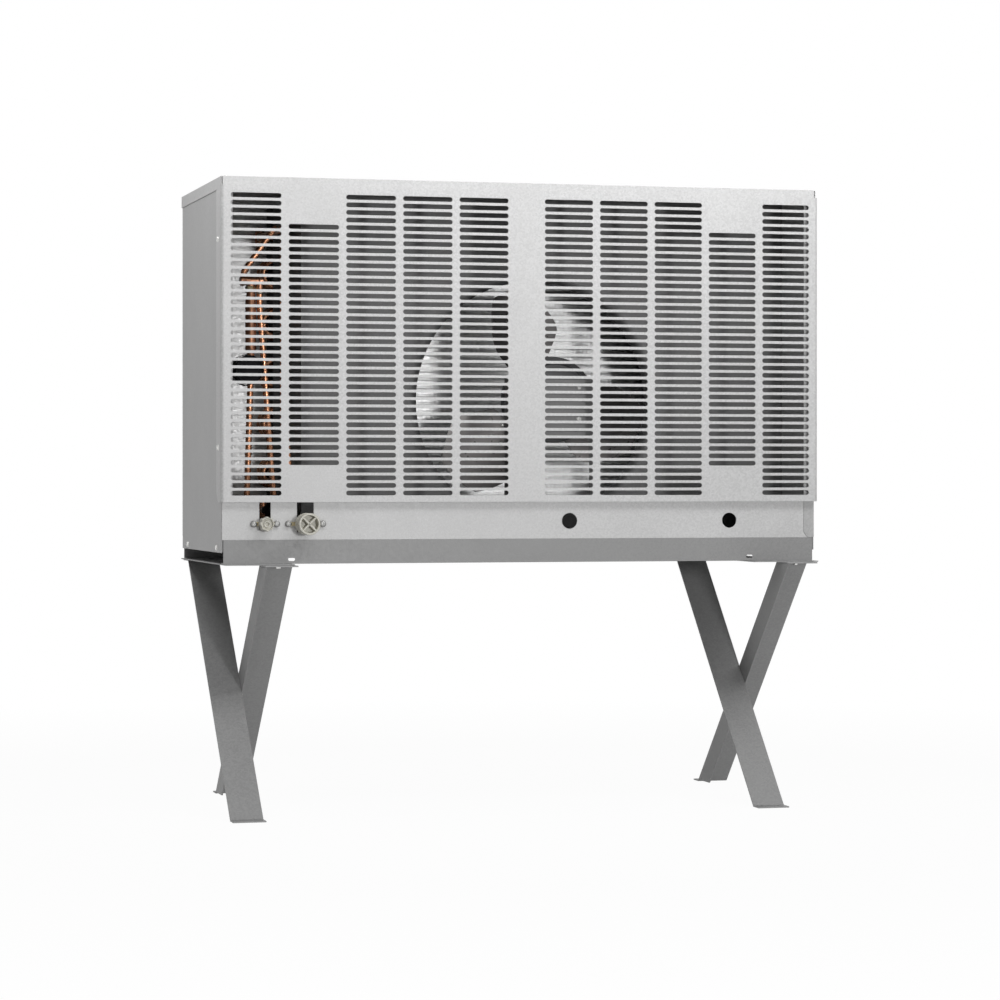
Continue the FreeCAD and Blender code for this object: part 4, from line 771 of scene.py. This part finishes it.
def tube_rows():
    """Depths of the two rows of tubes."""
    low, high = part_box("coil_fin_pack")
    middle = (low.y + high.y) / 2
    return (middle - TUBE_ROW_PITCH / 2, middle + TUBE_ROW_PITCH / 2)


def collar(centre, axis, radius):
    """Solder fillet round a tube."""
    profile = [(radius - 0.0002, 0.0), (radius + 0.0011, 0.0), (radius + 0.0010, 0.0011),
               (radius + 0.0004, 0.0023), (radius - 0.0002, 0.0031)]
    return turned("collar", profile, centre, axis, 24, closed=True)


def bend_points(x_face, side, y, z):
    """Centre line of a return bend that joins two tubes, one above the other."""
    radius = TUBE_PITCH / 2
    points = [V((x_face, y, z))]
    for step in range(BEND_STEPS + 1):
        angle = pi * step / BEND_STEPS
        reach = BEND_STUB + radius * sin(angle)
        points.append(V((x_face + side * reach, y, z + radius * (1 - cos(angle)))))
    points.append(V((x_face, y, z + TUBE_PITCH)))
    return points


def make_return_bends():
    """Round return bends with a soldered joint at each end."""
    for side, name, first in ((-1, "left", 1), (1, "right", 0)):
        node = "coil_return_bends_" + name
        low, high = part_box(node)
        x_face = high.x if side < 0 else low.x
        bends = []
        joints = []
        for y in tube_rows():
            for index in range(first, TUBES_PER_ROW - 1, 2):
                points = bend_points(x_face, side, y, tube_height(index))
                bends.append(tube_mesh("bend", points, TUBE_RADIUS, 20))
                for end in (points[0], points[-1]):
                    joints.append(collar(end, (side, 0, 0), TUBE_RADIUS))
        add_piece("return_bends_" + name, joined("bends", bends), "cabinet", "copper_tube", "copper", node)
        add_piece("bend_joints_" + name, joined("joints", joints), "cabinet", "copper_tube", "solder")


# Piping

def make_header(node, y):
    """Header with domed ends and a stub to the coil. Gives back the stub's soldered joint."""
    low, high, middle, _ = measured(node)
    x = low.x + HEADER_RADIUS
    r = HEADER_RADIUS
    height = high.z - low.z
    profile = [(0.0, 0.0), (r * 0.5, 0.0003), (r * 0.85, 0.0016), (r, 0.0042), (r, height - 0.0042),
               (r * 0.85, height - 0.0016), (r * 0.5, height - 0.0003), (0.0, height)]
    body = turned("header", profile, (x, y, low.z), (0, 0, 1), 28)
    points = [(x, y, middle.z), ((x + high.x) / 2, y, middle.z), (high.x, y, middle.z)]
    stub = tube_mesh("stub", points, TUBE_RADIUS, 20)
    add_piece(node + "_pipe", joined("header", [body, stub]), "cabinet", "copper_tube", "copper", node)
    return collar(points[-1], (-1, 0, 0), TUBE_RADIUS)


def make_piping():
    """Round copper pipes, headers and their soldered joints."""
    joints = []
    for node, route, radius, bend in PIPES:
        pipe = tube_mesh(node, rounded_route(route, bend), radius, 24)
        add_piece(node + "_pipe", pipe, "cabinet", "copper_tube", "copper", node)
        for end, neighbour in ((V(route[0]), V(route[1])), (V(route[-1]), V(route[-2]))):
            inward = (neighbour - end).normalized()
            joints.append(collar(end + inward * JOINT_GAP, inward, radius))
    joints.append(make_header("discharge_header", tube_rows()[1]))
    joints.append(make_header("liquid_header", tube_rows()[0]))
    add_piece("pipe_joints", joined("pipe_joints", joints), "cabinet", "copper_tube", "solder")


def make_sleeves():
    """Foam sleeves where the pipes pass through the front and stand on the deck."""
    sleeves = []
    for route, radius in ((LIQUID_ROUTE, LIQUID_SLEEVE_RADIUS), (DISCHARGE_ROUTE, DISCHARGE_SLEEVE_RADIUS)):
        start, corner = V(route[0]), V(route[1])
        rise = (V(route[2]) - corner).normalized()
        short = [start + (corner - start) * SLEEVE_START, corner, corner + rise * SLEEVE_RISE]
        sleeves.append(tube_mesh("sleeve", rounded_route(short, PIPE_BEND), radius, 24))
    foot = [V(point) for point in CONDENSATE_ROUTE[2:5]]
    short = [foot[0] + V((0.0, 0.0, CONDENSATE_SLEEVE_RISE)), foot[0], foot[1],
             foot[1] + (foot[2] - foot[1]) * CONDENSATE_SLEEVE_END]
    sleeves.append(tube_mesh("sleeve", rounded_route(short, CONDENSATE_BEND), CONDENSATE_SLEEVE_RADIUS, 24))
    add_piece("pipe_sleeves", joined("sleeves", sleeves), "cabinet", "plug_plastic", "foam_black")


def make_valve():
    """Head pressure valve: fat copper body under a crosswise port block, with a hex sleeve."""
    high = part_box("head_pressure_valve")[1]
    foot = V(VALVE_FOOT)
    port = V(VALVE_PORT_START)
    top = VALVE_PORT_START[2] - foot.z
    r = VALVE_RADIUS
    profile = [(0.0, 0.0), (0.0058, 0.0), (0.0060, 0.0045), (0.0068, 0.0085), (r, 0.0125), (r, 0.040),
               (0.0073, 0.042), (0.0073, 0.0435), (r, 0.0455), (r, top - 0.030), (0.0070, top - 0.026),
               (0.0064, top - 0.020), (0.0064, top - 0.004), (0.0, top - 0.004)]
    body = turned("valve_body", profile, foot, (0, 0, 1), 36)
    length = high.x - port.x
    r = PORT_RADIUS
    cross = [(0.0, 0.0), (r - 0.0012, 0.0), (r, 0.0012), (r, 0.0055), (r - 0.0009, 0.0065),
             (r - 0.0009, length - 0.0075), (r, length - 0.0065), (r, length - 0.0012), (r - 0.0012, length),
             (0.0, length)]
    block = turned("valve_block", cross, port, (1, 0, 0), 32)
    x, y, z = VALVE_OUTLET_END
    points = [(x, y, z), (x, y, VALVE_OUTLET_MIDDLE_Z), (x, y, port.z)]
    outlet = tube_mesh("outlet", points, VALVE_OUTLET_RADIUS, 20)
    whole = joined("valve", [body, block, outlet])
    add_piece("valve_body", whole, "cabinet", "brass_fittings", "aged_copper", "head_pressure_valve")
    sleeve = hexagonal("valve_sleeve", foot + V((0, 0, top - 0.017)), (0, 0, 1), VALVE_RADIUS, 0.009, 0.0006)
    add_piece("valve_sleeve", sleeve, "cabinet", "brass_fittings", "brass")


def make_capacitor():
    """Black run capacitor: rolled rim, sunken front disc and an insulating boot."""
    low, high, middle, length = measured("run_capacitor")
    front = (middle.x, low.y, middle.z)
    r = (high.x - low.x) / 2 - 0.0001
    profile = [(0.0, 0.0016), (r - 0.0052, 0.0016), (r - 0.0046, 0.0021), (r - 0.0026, 0.0018),
               (r - 0.0020, 0.0004), (r - 0.0010, 0.0), (r, 0.0010), (r, 0.0042), (r - 0.0010, 0.0050),
               (r - 0.0010, length - 0.0022), (r - 0.0030, length), (0.0, length)]
    can = turned("capacitor", profile, front, (0, 1, 0), 56)
    add_piece("capacitor_can", can, "cabinet", "capacitor_case", "capacitor_black", "run_capacitor")
    boot = [(0.0, 0.0), (0.0112, 0.0), (0.0126, 0.0006), (0.0130, 0.0018), (0.0, 0.0018)]
    piece = turned("boot", boot, front, (0, 1, 0), 40)
    add_piece("capacitor_boot", piece, "cabinet", "capacitor_case", "capacitor_black")


# Motor and fan

def on_fan_axis(name, profile, y, steps, closed=False):
    """Surface of revolution round the fan's axis, from a depth backwards."""
    return turned(name, profile, (FAN_X, y, FAN_Z), (0, 1, 0), steps, closed=closed)


def shell_profile(length):
    """Profile of the motor's ribbed shell."""
    r = MOTOR_SHELL_RADIUS
    span = length - 2 * MOTOR_BAND
    profile = [(0.0, 0.0), (r - 0.0022, 0.0), (r - 0.0006, 0.0005), (r, 0.0018), (r, 0.0058),
               (r - 0.0012, MOTOR_BAND)]
    for index in range(MOTOR_GROOVES):
        start = MOTOR_BAND + span * index / MOTOR_GROOVES
        end = MOTOR_BAND + span * (index + 1) / MOTOR_GROOVES
        profile += [(r - 0.0012, start + 0.0012), (r - 0.0002, start + 0.0022), (r - 0.0002, end - 0.0012),
                    (r - 0.0012, end - 0.0002)]
    return profile + [(r - 0.0012, length - 0.0066), (r, length - 0.0056), (r, length - 0.0018),
                      (r - 0.0006, length - 0.0005), (r - 0.0022, length), (0.0, length)]


def make_motor():
    """Enamelled motor: front bell, ribbed shell and rear bell."""
    r = MOTOR_BELL_RADIUS
    length = measured("motor_front_bell")[3]
    front = [(0.0, 0.0), (0.016, 0.0), (0.0165, 0.0008), (0.0225, 0.0008), (0.0230, 0.0), (r - 0.0085, 0.0),
             (r - 0.0055, 0.0006), (r - 0.0022, 0.0026), (r - 0.0004, 0.0062), (r, 0.0105), (r, length),
             (0.0, length)]
    shell = shell_profile(measured("motor_shell")[3])
    rear = [(0.0, 0.0), (r, 0.0), (r, 0.0040), (r - 0.0010, 0.0080), (r - 0.0050, 0.0112), (0.034, 0.0120),
            (0.030, 0.0132), (0.012, 0.0138), (0.0085, 0.0138), (0.0080, 0.0126), (0.0, 0.0126)]
    for name, node, profile, steps in (("motor_front", "motor_front_bell", front, 64),
                                       ("motor_can", "motor_shell", shell, 72),
                                       ("motor_rear", "motor_rear_bell", rear, 64)):
        part = on_fan_axis(name, profile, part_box(node)[0].y, steps)
        add_piece(name, part, "cabinet", "motor_enamel", "black_enamel", node)


def make_shaft_and_hub():
    """Chamfered shaft, and the turned hub with its grub screw."""
    low, _, _, length = measured("motor_shaft")
    r = SHAFT_RADIUS
    profile = [(0.0, 0.0), (r, 0.0), (r, length - 0.0008), (r - 0.0008, length), (0.0014, length),
               (0.0, length - 0.0012)]
    shaft = on_fan_axis("shaft", profile, low.y, 36)
    add_piece("shaft", shaft, "fan", "fan_steel", "fan_steel", "motor_shaft")
    low, _, _, length = measured("fan_hub")
    r = HUB_RADIUS
    neck = r * HUB_NECK
    profile = [(HUB_BORE, 0.0), (neck - 0.0006, 0.0), (neck, 0.0006), (neck, 0.0105), (r * 0.78, 0.0120),
               (r - 0.0006, 0.0130), (r, 0.0136), (r, length), (HUB_BORE, length)]
    body = on_fan_axis("hub", profile, low.y, 48, closed=True)
    profile = [(0.0, -0.002), (0.0026, -0.002), (0.0026, 0.0012), (0.0022, 0.0016), (0.0014, 0.0016),
               (0.0012, 0.0004), (0.0, 0.0004)]
    grub = turned("grub", profile, (FAN_X, low.y + 0.006, FAN_Z + neck), (0, 0, 1), 18)
    add_piece("hub", joined("hub", [body, grub]), "fan", "fan_steel", "fan_steel", "fan_hub")


def fan_point(across, along, lift, angle, pitch=BLADE_PITCH):
    """Point of the fan from its place across, along and behind a pitched strip."""
    x = across * cos(pitch) - lift * sin(pitch)
    y = across * sin(pitch) + lift * cos(pitch)
    return V((FAN_X + x * cos(angle) + along * sin(angle), BLADE_MIDDLE_Y + y,
              FAN_Z - x * sin(angle) + along * cos(angle)))


def blade_angle(index):
    """Direction of a blade, clockwise from the top."""
    return BLADE_FIRST_ANGLE + 2 * pi * index / BLADE_COUNT


def eased(part):
    """A part of 0 to 1 that starts and ends gently."""
    return 3 * part ** 2 - 2 * part ** 3


def blade_half_width(share):
    """Half the width of a blade at a share of its length."""
    for (a, width_a), (b, width_b) in zip(BLADE_HALF_WIDTHS, BLADE_HALF_WIDTHS[1:]):
        if share <= b:
            part = (share - a) / (b - a)
            part = eased(part) * BLADE_WIDTH_EASING + part * (1.0 - BLADE_WIDTH_EASING)
            return width_a + (width_b - width_a) * part
    return BLADE_HALF_WIDTHS[-1][1]


def blade_point(row, column, lift, angle):
    """Point of a blade's grid, from root to tip and from edge to edge."""
    share = row / BLADE_ROWS
    across = blade_half_width(share) * (2 * column / BLADE_COLUMNS - 1)
    end = sqrt(BLADE_TIP_RADIUS ** 2 - across ** 2)
    along = BLADE_ROOT_RADIUS + share * (end - BLADE_ROOT_RADIUS)
    bow = BLADE_CURVE_RADIUS - sqrt(BLADE_CURVE_RADIUS ** 2 - across ** 2)
    return fan_point(across, along, lift - BLADE_CROWN - bow, angle)


def blade_mesh(angle):
    """Pressed blade: a curved sheet with rounded corners."""
    vertices = []
    for lift in (0.0, -BLADE_SHEET):
        for row in range(BLADE_ROWS + 1):
            vertices += [blade_point(row, column, lift, angle) for column in range(BLADE_COLUMNS + 1)]
    width = BLADE_COLUMNS + 1
    layer = width * (BLADE_ROWS + 1)
    faces = []
    for row in range(BLADE_ROWS):
        for column in range(BLADE_COLUMNS):
            a = row * width + column
            face = [a, a + 1, a + width + 1, a + width]
            faces.append(face)
            faces.append([layer + item for item in reversed(face)])
    rim = list(range(width)) + [row * width + BLADE_COLUMNS for row in range(1, BLADE_ROWS + 1)]
    rim += [BLADE_ROWS * width + column for column in range(BLADE_COLUMNS - 1, -1, -1)]
    rim += [row * width for row in range(BLADE_ROWS - 1, 0, -1)]
    for first, second in zip(rim, rim[1:] + rim[:1]):
        faces.append([first, second, layer + second, layer + first])
    return smooth_by_angle(mesh_of("blade", vertices, faces), BLADE_SHARP_ANGLE)


def rivet(across, along, angle):
    """Domed rivet head on the front of a blade."""
    centre = fan_point(across, along, -BLADE_CROWN - BLADE_SHEET - 0.0002, angle)
    axis = fan_point(across, along, -1.0, angle) - fan_point(across, along, 0.0, angle)
    r = RIVET_RADIUS
    profile = [(0.0, -0.0006), (r, -0.0006), (r, 0.0002), (r * 0.9, 0.0009), (r * 0.6, 0.0015),
               (r * 0.25, 0.0018), (0.0, 0.0018)]
    return turned("rivet", profile, centre, axis, 20)


def spider_arm(angle):
    """Arm of the spider: a strip that twists from the disc's plane to the blade's pitch."""
    sheet = SPIDER_HALF_SHEET
    rings = []
    for step in range(ARM_STATIONS + 1):
        share = step / ARM_STATIONS
        along = ARM_START + (ARM_END - ARM_START) * share
        twist = BLADE_PITCH * eased(min(1.0, (along - ARM_START) / ARM_TWIST_LENGTH))
        half = ARM_HALF_WIDTH
        if share >= ARM_TAPER_START:
            half -= ARM_TAPER * ((share - ARM_TAPER_START) / (1.0 - ARM_TAPER_START)) ** 2
        rings.append([fan_point(across, along, lift, angle, twist) for across, lift in
                      ((-half, -sheet), (half, -sheet), (half, sheet), (-half, sheet))])
    return smooth_by_angle(skinned("arm", rings))


def make_fan():
    """Blades, their rivets, and the spider that carries them."""
    rivets = []
    arms = []
    for index in range(BLADE_COUNT):
        angle = blade_angle(index)
        name = "blade_%d" % (index + 1)
        # The blades take the darkened aluminium colour, a painted shade.
        blade = add_piece(name, blade_mesh(angle), "fan", "blade_aluminium", "blade_aluminium", "fan_" + name)
        soften(blade, angle=BLADE_SHARP_ANGLE)
        rivets += [rivet(across, along, angle) for across, along in RIVET_PLACES]
        arms.append(spider_arm(angle))
    add_piece("fan_rivets", joined("rivets", rivets), "fan", "fan_steel", "zinc_screws")
    profile = [(0.0166, 0.0), (0.0388, 0.0), (0.0394, 0.0005), (0.0394, 0.0020), (0.0388, 0.0025),
               (0.0166, 0.0025)]
    disc = on_fan_axis("spider_disc", profile, BLADE_MIDDLE_Y - SPIDER_HALF_SHEET, 72, closed=True)
    spider = add_piece("spider", joined("spider", [disc] + arms), "fan", "fan_steel", "fan_steel", "fan_spider")
    soften(spider, 0.0003, 1)


def make_orifice_rim():
    """Smooth drawn mouth of the shroud over the folded one."""
    profile = [(0.1990, -0.0003), (0.1935, -0.0003), (0.1890, 0.0004), (0.1855, 0.0024), (0.1830, 0.0056),
               (0.18145, 0.0102), (0.1812, 0.0238), (0.1822, 0.0238), (0.1822, 0.0100), (0.1990, 0.0010)]
    rim = on_fan_axis("orifice_rim", profile, ORIFICE_RIM_Y, 160, closed=True)
    # The rim takes the darkened inner copy of the steel, a painted shade.
    add_piece("orifice_rim", rim, "cabinet", "galvanised_sheet", "painted_shade_inner_steel")


# Front fittings

def coupling_profile(radius):
    """Threaded spigot in front of a round flange."""
    pitch = (SPIGOT_LENGTH - 2 * THREAD_END) / THREAD_TURNS
    root = radius - 0.0008
    crest = radius - 0.0001
    rim = radius + 0.0017
    profile = [(0.0, 0.0004), (radius * 0.45, 0.0004), (radius * 0.55, 0.0), (radius - 0.0012, 0.0)]
    for index in range(THREAD_TURNS):
        start = THREAD_END + pitch * index
        profile += [(root, start), (crest, start + pitch * 0.4), (crest, start + pitch * 0.6),
                    (root, start + pitch * 0.98)]
    return profile + [(root, SPIGOT_LENGTH), (rim - 0.0006, SPIGOT_LENGTH), (rim, SPIGOT_LENGTH + 0.0006),
                      (rim, SPIGOT_LENGTH + FLANGE_SHEET), (0.0, SPIGOT_LENGTH + FLANGE_SHEET)]


def coupling_ear(centre, side, spacing):
    """Ear of the flange that reaches from its centre round one of the screws."""
    half = EAR_HALF_HEIGHT
    outline = [(centre.x, centre.z - half), (centre.x, centre.z + half)]
    for step in range(EAR_STEPS + 1):
        angle = -pi / 2 + pi * step / EAR_STEPS
        outline.append((centre.x + side * (spacing / 2 + EAR_TIP * cos(angle)),
                        centre.z + half * sin(angle)))
    front = centre.y + SPIGOT_LENGTH
    return hulled("ear", [V((x, y, z)) for y in (front, front + FLANGE_SHEET) for x, z in outline])


def make_couplings():
    """Brass quick couplings: threaded spigot, slim flange, hex body."""
    for node, radius, spacing in COUPLINGS:
        low, _, middle, _ = measured(node)
        centre = V((middle.x, low.y, middle.z))
        parts = [turned("coupling", coupling_profile(radius), centre, (0, 1, 0), 48)]
        parts += [coupling_ear(centre, side, spacing) for side in (-1, 1)]
        start = centre + V((0, SPIGOT_LENGTH + 0.003, 0))
        parts.append(hexagonal("coupling_hex", start, (0, 1, 0), radius * 0.99, 0.0238, 0.0008))
        piece = add_piece(node + "_brass", joined("coupling", parts), "cabinet", "brass_fittings", "brass", node)
        soften(piece, 0.0002, 1)


def make_small_cap():
    """Lobed dust cap with a dished end."""
    _, high, middle, length = measured("small_cap")
    r = SMALL_CAP_RADIUS
    profile = [(0.0, 0.0112), (0.0068, 0.0112), (0.00715, 0.0108), (0.00715, 0.0004), (0.0075, 0.0),
               (0.0092, 0.0), (r - 0.0004, 0.0), (r, 0.0006), (r, length - 0.0016), (r - 0.0003, length - 0.0006),
               (r - 0.0011, length), (0.0086, length), (0.0081, length - 0.0003), (0.0077, length - 0.0030),
               (0.0072, length - 0.0036), (0.0058, length - 0.0036), (0.0054, length - 0.0031),
               (0.0050, length - 0.0014), (0.0046, length - 0.0011), (0.0034, length - 0.0011),
               (0.0030, length - 0.0014), (0.0022, length - 0.0044), (0.0, length - 0.0048)]
    cap = turned("small_cap", profile, (middle.x, high.y, middle.z), (0, -1, 0), 128,
                 flutes=8, flute_depth=0.0014, flute_from=0.0091)
    add_piece("small_dust_cap", cap, "small_cap", "cap_plastic", "cream_plastic", "small_cap")


def cap_rib(centre, turn, length):
    """Tapered rib across the pocket of the large cap."""
    points = []
    for along, width in ((length - POCKET_DEPTH - 0.0006, RIB_HALF_WIDTH + 0.0003),
                         (length - 0.0016, RIB_HALF_WIDTH), (length - 0.0010, RIB_HALF_WIDTH - 0.0006)):
        for reach, side in ((-RIB_REACH, -1), (RIB_REACH, -1), (RIB_REACH, 1), (-RIB_REACH, 1)):
            x = reach * cos(turn) - side * width * sin(turn)
            z = reach * sin(turn) + side * width * cos(turn)
            points.append(centre + V((x, -along, z)))
    return hulled("rib", points)


def make_large_cap():
    """Knurled dust cap with crossed ribs in its pocket."""
    _, high, middle, length = measured("large_cap")
    centre = V((middle.x, high.y, middle.z))
    r = LARGE_CAP_RADIUS
    pocket = POCKET_RADIUS
    floor = length - POCKET_DEPTH
    profile = [(0.0, 0.0092), (0.0112, 0.0092), (0.01165, 0.0088), (0.01165, 0.0006), (0.0121, 0.0),
               (r - 0.0004, 0.0), (r, 0.0005), (r, 0.0030), (r - 0.0005, 0.0036), (r - 0.0012, 0.0039),
               (r - 0.0012, length - 0.0044), (r - 0.0008, length - 0.0038), (r - 0.0001, length - 0.0034),
               (r, length - 0.0009), (r - 0.0006, length), (pocket + 0.0006, length), (pocket, length - 0.0007),
               (pocket - 0.0002, floor + 0.0010), (pocket - 0.0012, floor), (0.0, floor)]
    shell = turned("large_cap", profile, centre, (0, -1, 0), 128, flutes=24, flute_depth=0.0004,
                   flute_from=r - 0.0013)
    parts = [shell, cap_rib(centre, pi / 4, length), cap_rib(centre, -pi / 4, length)]
    cap = joined("large_cap", parts)
    add_piece("large_dust_cap", cap, "large_cap", "cap_plastic", "cream_plastic", "large_cap")


def make_plug():
    """Snap-in plug with a domed head."""
    low, high, middle, length = measured("hole_plug")
    r = (high.x - low.x) / 2 - 0.0001
    neck = PLUG_NECK_RADIUS
    profile = [(0.0, length - 0.0066), (0.0075, length - 0.0066), (0.0092, 0.0), (neck - 0.0010, 0.0),
               (neck - 0.0002, 0.0012), (neck - 0.0002, length - 0.0017), (r, length - 0.0016),
               (r, length - 0.0011), (r - 0.0005, length - 0.0006), (r - 0.0020, length - 0.0002),
               (r * 0.62, length - 0.0001), (r * 0.56, length - 0.0006), (0.0, length - 0.0005)]
    plug = turned("plug", profile, (middle.x, high.y, middle.z), (0, -1, 0), 64)
    add_piece("knockout_plug", plug, "cabinet", "plug_plastic", "black_plastic", "hole_plug")


# Fasteners

def slotted_hex_head(radius, height):
    """Hex washer head with a screwdriver slot, seated at the origin and facing +Z."""
    profile = [(0.0, -0.0002), (radius, -0.0002), (radius, 0.0003), (radius * 0.93, 0.0006), (0.0, 0.0006)]
    washer = turned("washer", profile, (0, 0, 0), (0, 0, 1), 40)
    head = hexagonal("head", (0, 0, 0.0003), (0, 0, 1), radius * 0.86, height - 0.0003, 0.0003)
    slot = boxed("slot", (-radius, -0.00045, height * 0.52), (radius, 0.00045, height * 2))
    return joined("screw", [washer, cut_away("head", head, [slot])])


def pan_head(radius, height):
    """Pan head with a crossed recess, seated at the origin and facing +Z."""
    profile = [(0.0, -0.0002), (radius, -0.0002), (radius, height * 0.35), (radius * 0.93, height * 0.66),
               (radius * 0.76, height * 0.88), (radius * 0.45, height * 0.98), (0.0, height)]
    head = turned("head", profile, (0, 0, 0), (0, 0, 1), 40)
    long_half = radius * 0.52
    recess = []
    for width, length in ((0.0005, long_half), (long_half, 0.0005)):
        points = []
        for x, y, z in ((width, length, height * 1.5), (width * 0.7, length * 0.5, height * 0.3)):
            points += [V((-x, -y, z)), V((x, -y, z)), V((x, y, z)), V((-x, y, z))]
        recess.append(hulled("recess", points))
    return cut_away("pan_head", head, recess)


def make_screws():
    """Screw heads, each on its own seat. Screws without an axis face outwards at the cabinet's sides."""
    hex_mesh = slotted_hex_head(*HEX_HEAD)
    hex_large = slotted_hex_head(*LARGE_HEX_HEAD)
    pan_mesh = pan_head(*PAN_HEAD)
    kinds = (("grille_screws", hex_mesh, None, 0, "zinc_screws"),
             ("side_panel_screws", hex_mesh, None, 0, "zinc_screws"),
             ("cover_screws", hex_mesh, (0, 0, 1), 2, "zinc_screws"),
             ("leg_tab_screws", hex_large, (0, 0, -1), 2, "zinc_screws"),
             ("coupling_screws", pan_mesh, (0, -1, 0), 1, "steel_screws"),
             ("motor_mount_screws", hex_mesh, (0, -1, 0), 1, "steel_screws"))
    for node, mesh, axis, flat, look in kinds:
        heads = []
        for count, (low, high) in enumerate(islands(node)):
            centre = (low + high) / 2
            direction = V(axis) if axis else V((1.0 if centre.x > 0 else -1.0, 0, 0))
            seat = centre - direction * (high[flat] - low[flat]) / 2
            heads.append(placed(mesh, seat, direction, SCREW_FIRST_TURN + SCREW_TURN_STEP * count))
        add_piece(node + "_heads", joined(node, heads), "cabinet", "plated_screws", look, node)


def make_cross_bolts():
    """Carriage bolts through the crossed legs: a domed head at the left and a hex nut at the right."""
    r = BOLT_HEAD_RADIUS
    half = BOLT_NECK_HALF
    dome = [(0.0, 0.0), (r * 0.3, 0.0001), (r * 0.6, 0.0007), (r * 0.85, 0.0019), (r, 0.0036), (r, 0.0040),
            (0.0, 0.0040)]
    stub = [(0.0, -0.001), (0.0031, -0.001), (0.0031, 0.0001), (0.0027, 0.0006), (0.0, 0.0006)]
    along_x = (1, 0, 0)
    parts = []
    for low, high in islands("leg_cross_bolts"):
        y, z = (low.y + high.y) / 2, (low.z + high.z) / 2
        neck = [V((low.x + half, y + a, z + b)) for a, b in
                ((-half, -half), (half, -half), (half, half), (-half, half))]
        parts.append(turned("dome", dome, (low.x, y, z), along_x, 40))
        parts.append(extruded("neck", neck, V((high.x - low.x - 0.0075, 0, 0))))
        parts.append(hexagonal("nut", (high.x - 0.0040, y, z), along_x, r, 0.0034, 0.0006))
        parts.append(turned("stub", stub, (high.x - 0.0006, y, z), along_x, 24))
    add_piece("cross_bolts", joined("bolts", parts), "cabinet", "plated_screws", "zinc_screws", "leg_cross_bolts")


# Stage, lamps and camera

def calculated(tree, operation, first, second):
    """Result of a sum on two factors."""
    node = add_node(tree, "Math", {}, {0: first, 1: second})
    node.operation = operation
    return node.outputs[0]


def white_ray_factor(tree):
    """1 for rays from the camera, and for glossy and transmitted ones."""
    path = tree.nodes.new("ShaderNodeLightPath")
    factor = calculated(tree, "MAXIMUM", path.outputs["Is Camera Ray"], path.outputs["Is Glossy Ray"])
    return calculated(tree, "MAXIMUM", factor, path.outputs["Is Transmission Ray"])


def mix_to_output(tree, kind, factor, lit, white):
    """Shows the lit shader where the factor is 0, and the white one where it is 1."""
    mix = add_node(tree, "MixShader", {}, {"Fac": factor, 1: lit.outputs[0], 2: white.outputs[0]})
    add_node(tree, kind, {}, {"Surface": mix.outputs[0]})


def make_world():
    """Even studio light, seen as white."""
    world = bpy.data.worlds.new("studio")
    bpy.context.scene.world = world
    world.use_nodes = True
    tree = world.node_tree
    tree.nodes.clear()
    lit = add_node(tree, "Background", {"Color": grey(1.0), "Strength": WORLD_LEVEL}, {})
    white = add_node(tree, "Background", {"Color": grey(1.0), "Strength": 1.0}, {})
    mix_to_output(tree, "OutputWorld", white_ray_factor(tree), lit, white)


def floor_whiteness(tree):
    """Share of plain white in the floor: nearly all round the object, and all of it further away."""
    place = tree.nodes.new("ShaderNodeTexCoord")
    length = add_node(tree, "VectorMath", {}, {0: place.outputs["Object"]})
    length.operation = "LENGTH"
    return spread(tree, length.outputs["Value"], FLOOR_WHITE, 1.0, *FLOOR_FADE)


def make_floor():
    """Pale floor that keeps the object's shadow."""
    far = FLOOR_REACH
    mesh = mesh_of("floor", [(-far, -far, 0), (far, -far, 0), (far, far, 0), (-far, far, 0)], [[0, 1, 2, 3]])
    floor = linked("floor", mesh)
    floor.location.z = -FLOOR_DROP
    material = bpy.data.materials.new("floor")
    material.use_nodes = True
    tree = material.node_tree
    tree.nodes.clear()
    matte = add_node(tree, "BsdfDiffuse", {"Color": grey(0.9)}, {})
    glow = add_node(tree, "Emission", {"Strength": 1.0}, {})
    share = calculated(tree, "MULTIPLY", white_ray_factor(tree), floor_whiteness(tree))
    mix_to_output(tree, "OutputMaterial", share, matte, glow)
    mesh.materials.append(material)


def add_lamp(name, place, aim, width, height, power):
    """Soft rectangular lamp pointed at a spot."""
    data = bpy.data.lights.new(name, "AREA")
    data.shape = "RECTANGLE"
    data.size = width
    data.size_y = height
    data.energy = power
    lamp = linked(name, data)
    lamp.location = place
    lamp.rotation_euler = (V(aim) - V(place)).to_track_quat("-Z", "Y").to_euler()


def make_camera():
    """Level camera of the photograph."""
    data = bpy.data.cameras.new("camera")
    data.sensor_width = CAMERA_SENSOR
    data.sensor_height = CAMERA_SENSOR
    data.lens = CAMERA_LENS
    data.shift_y = HORIZON_SHIFT
    data.clip_end = 100.0
    camera = linked("camera", data)
    camera.location = CAMERA_PLACE
    camera.rotation_euler = (pi / 2, 0.0, -CAMERA_TURN)
    bpy.context.scene.camera = camera


make_camera()
make_materials()
make_grille()
dress_sheet_nodes()
make_coil()
make_return_bends()
make_piping()
make_sleeves()
make_valve()
make_capacitor()
make_motor()
make_shaft_and_hub()
make_fan()
make_orifice_rim()
make_couplings()
make_small_cap()
make_large_cap()
make_plug()
make_screws()
make_cross_bolts()
make_world()
make_floor()
for lamp in LAMPS:
    add_lamp(*lamp)
bpy.context.scene.view_settings.view_transform = "Standard"
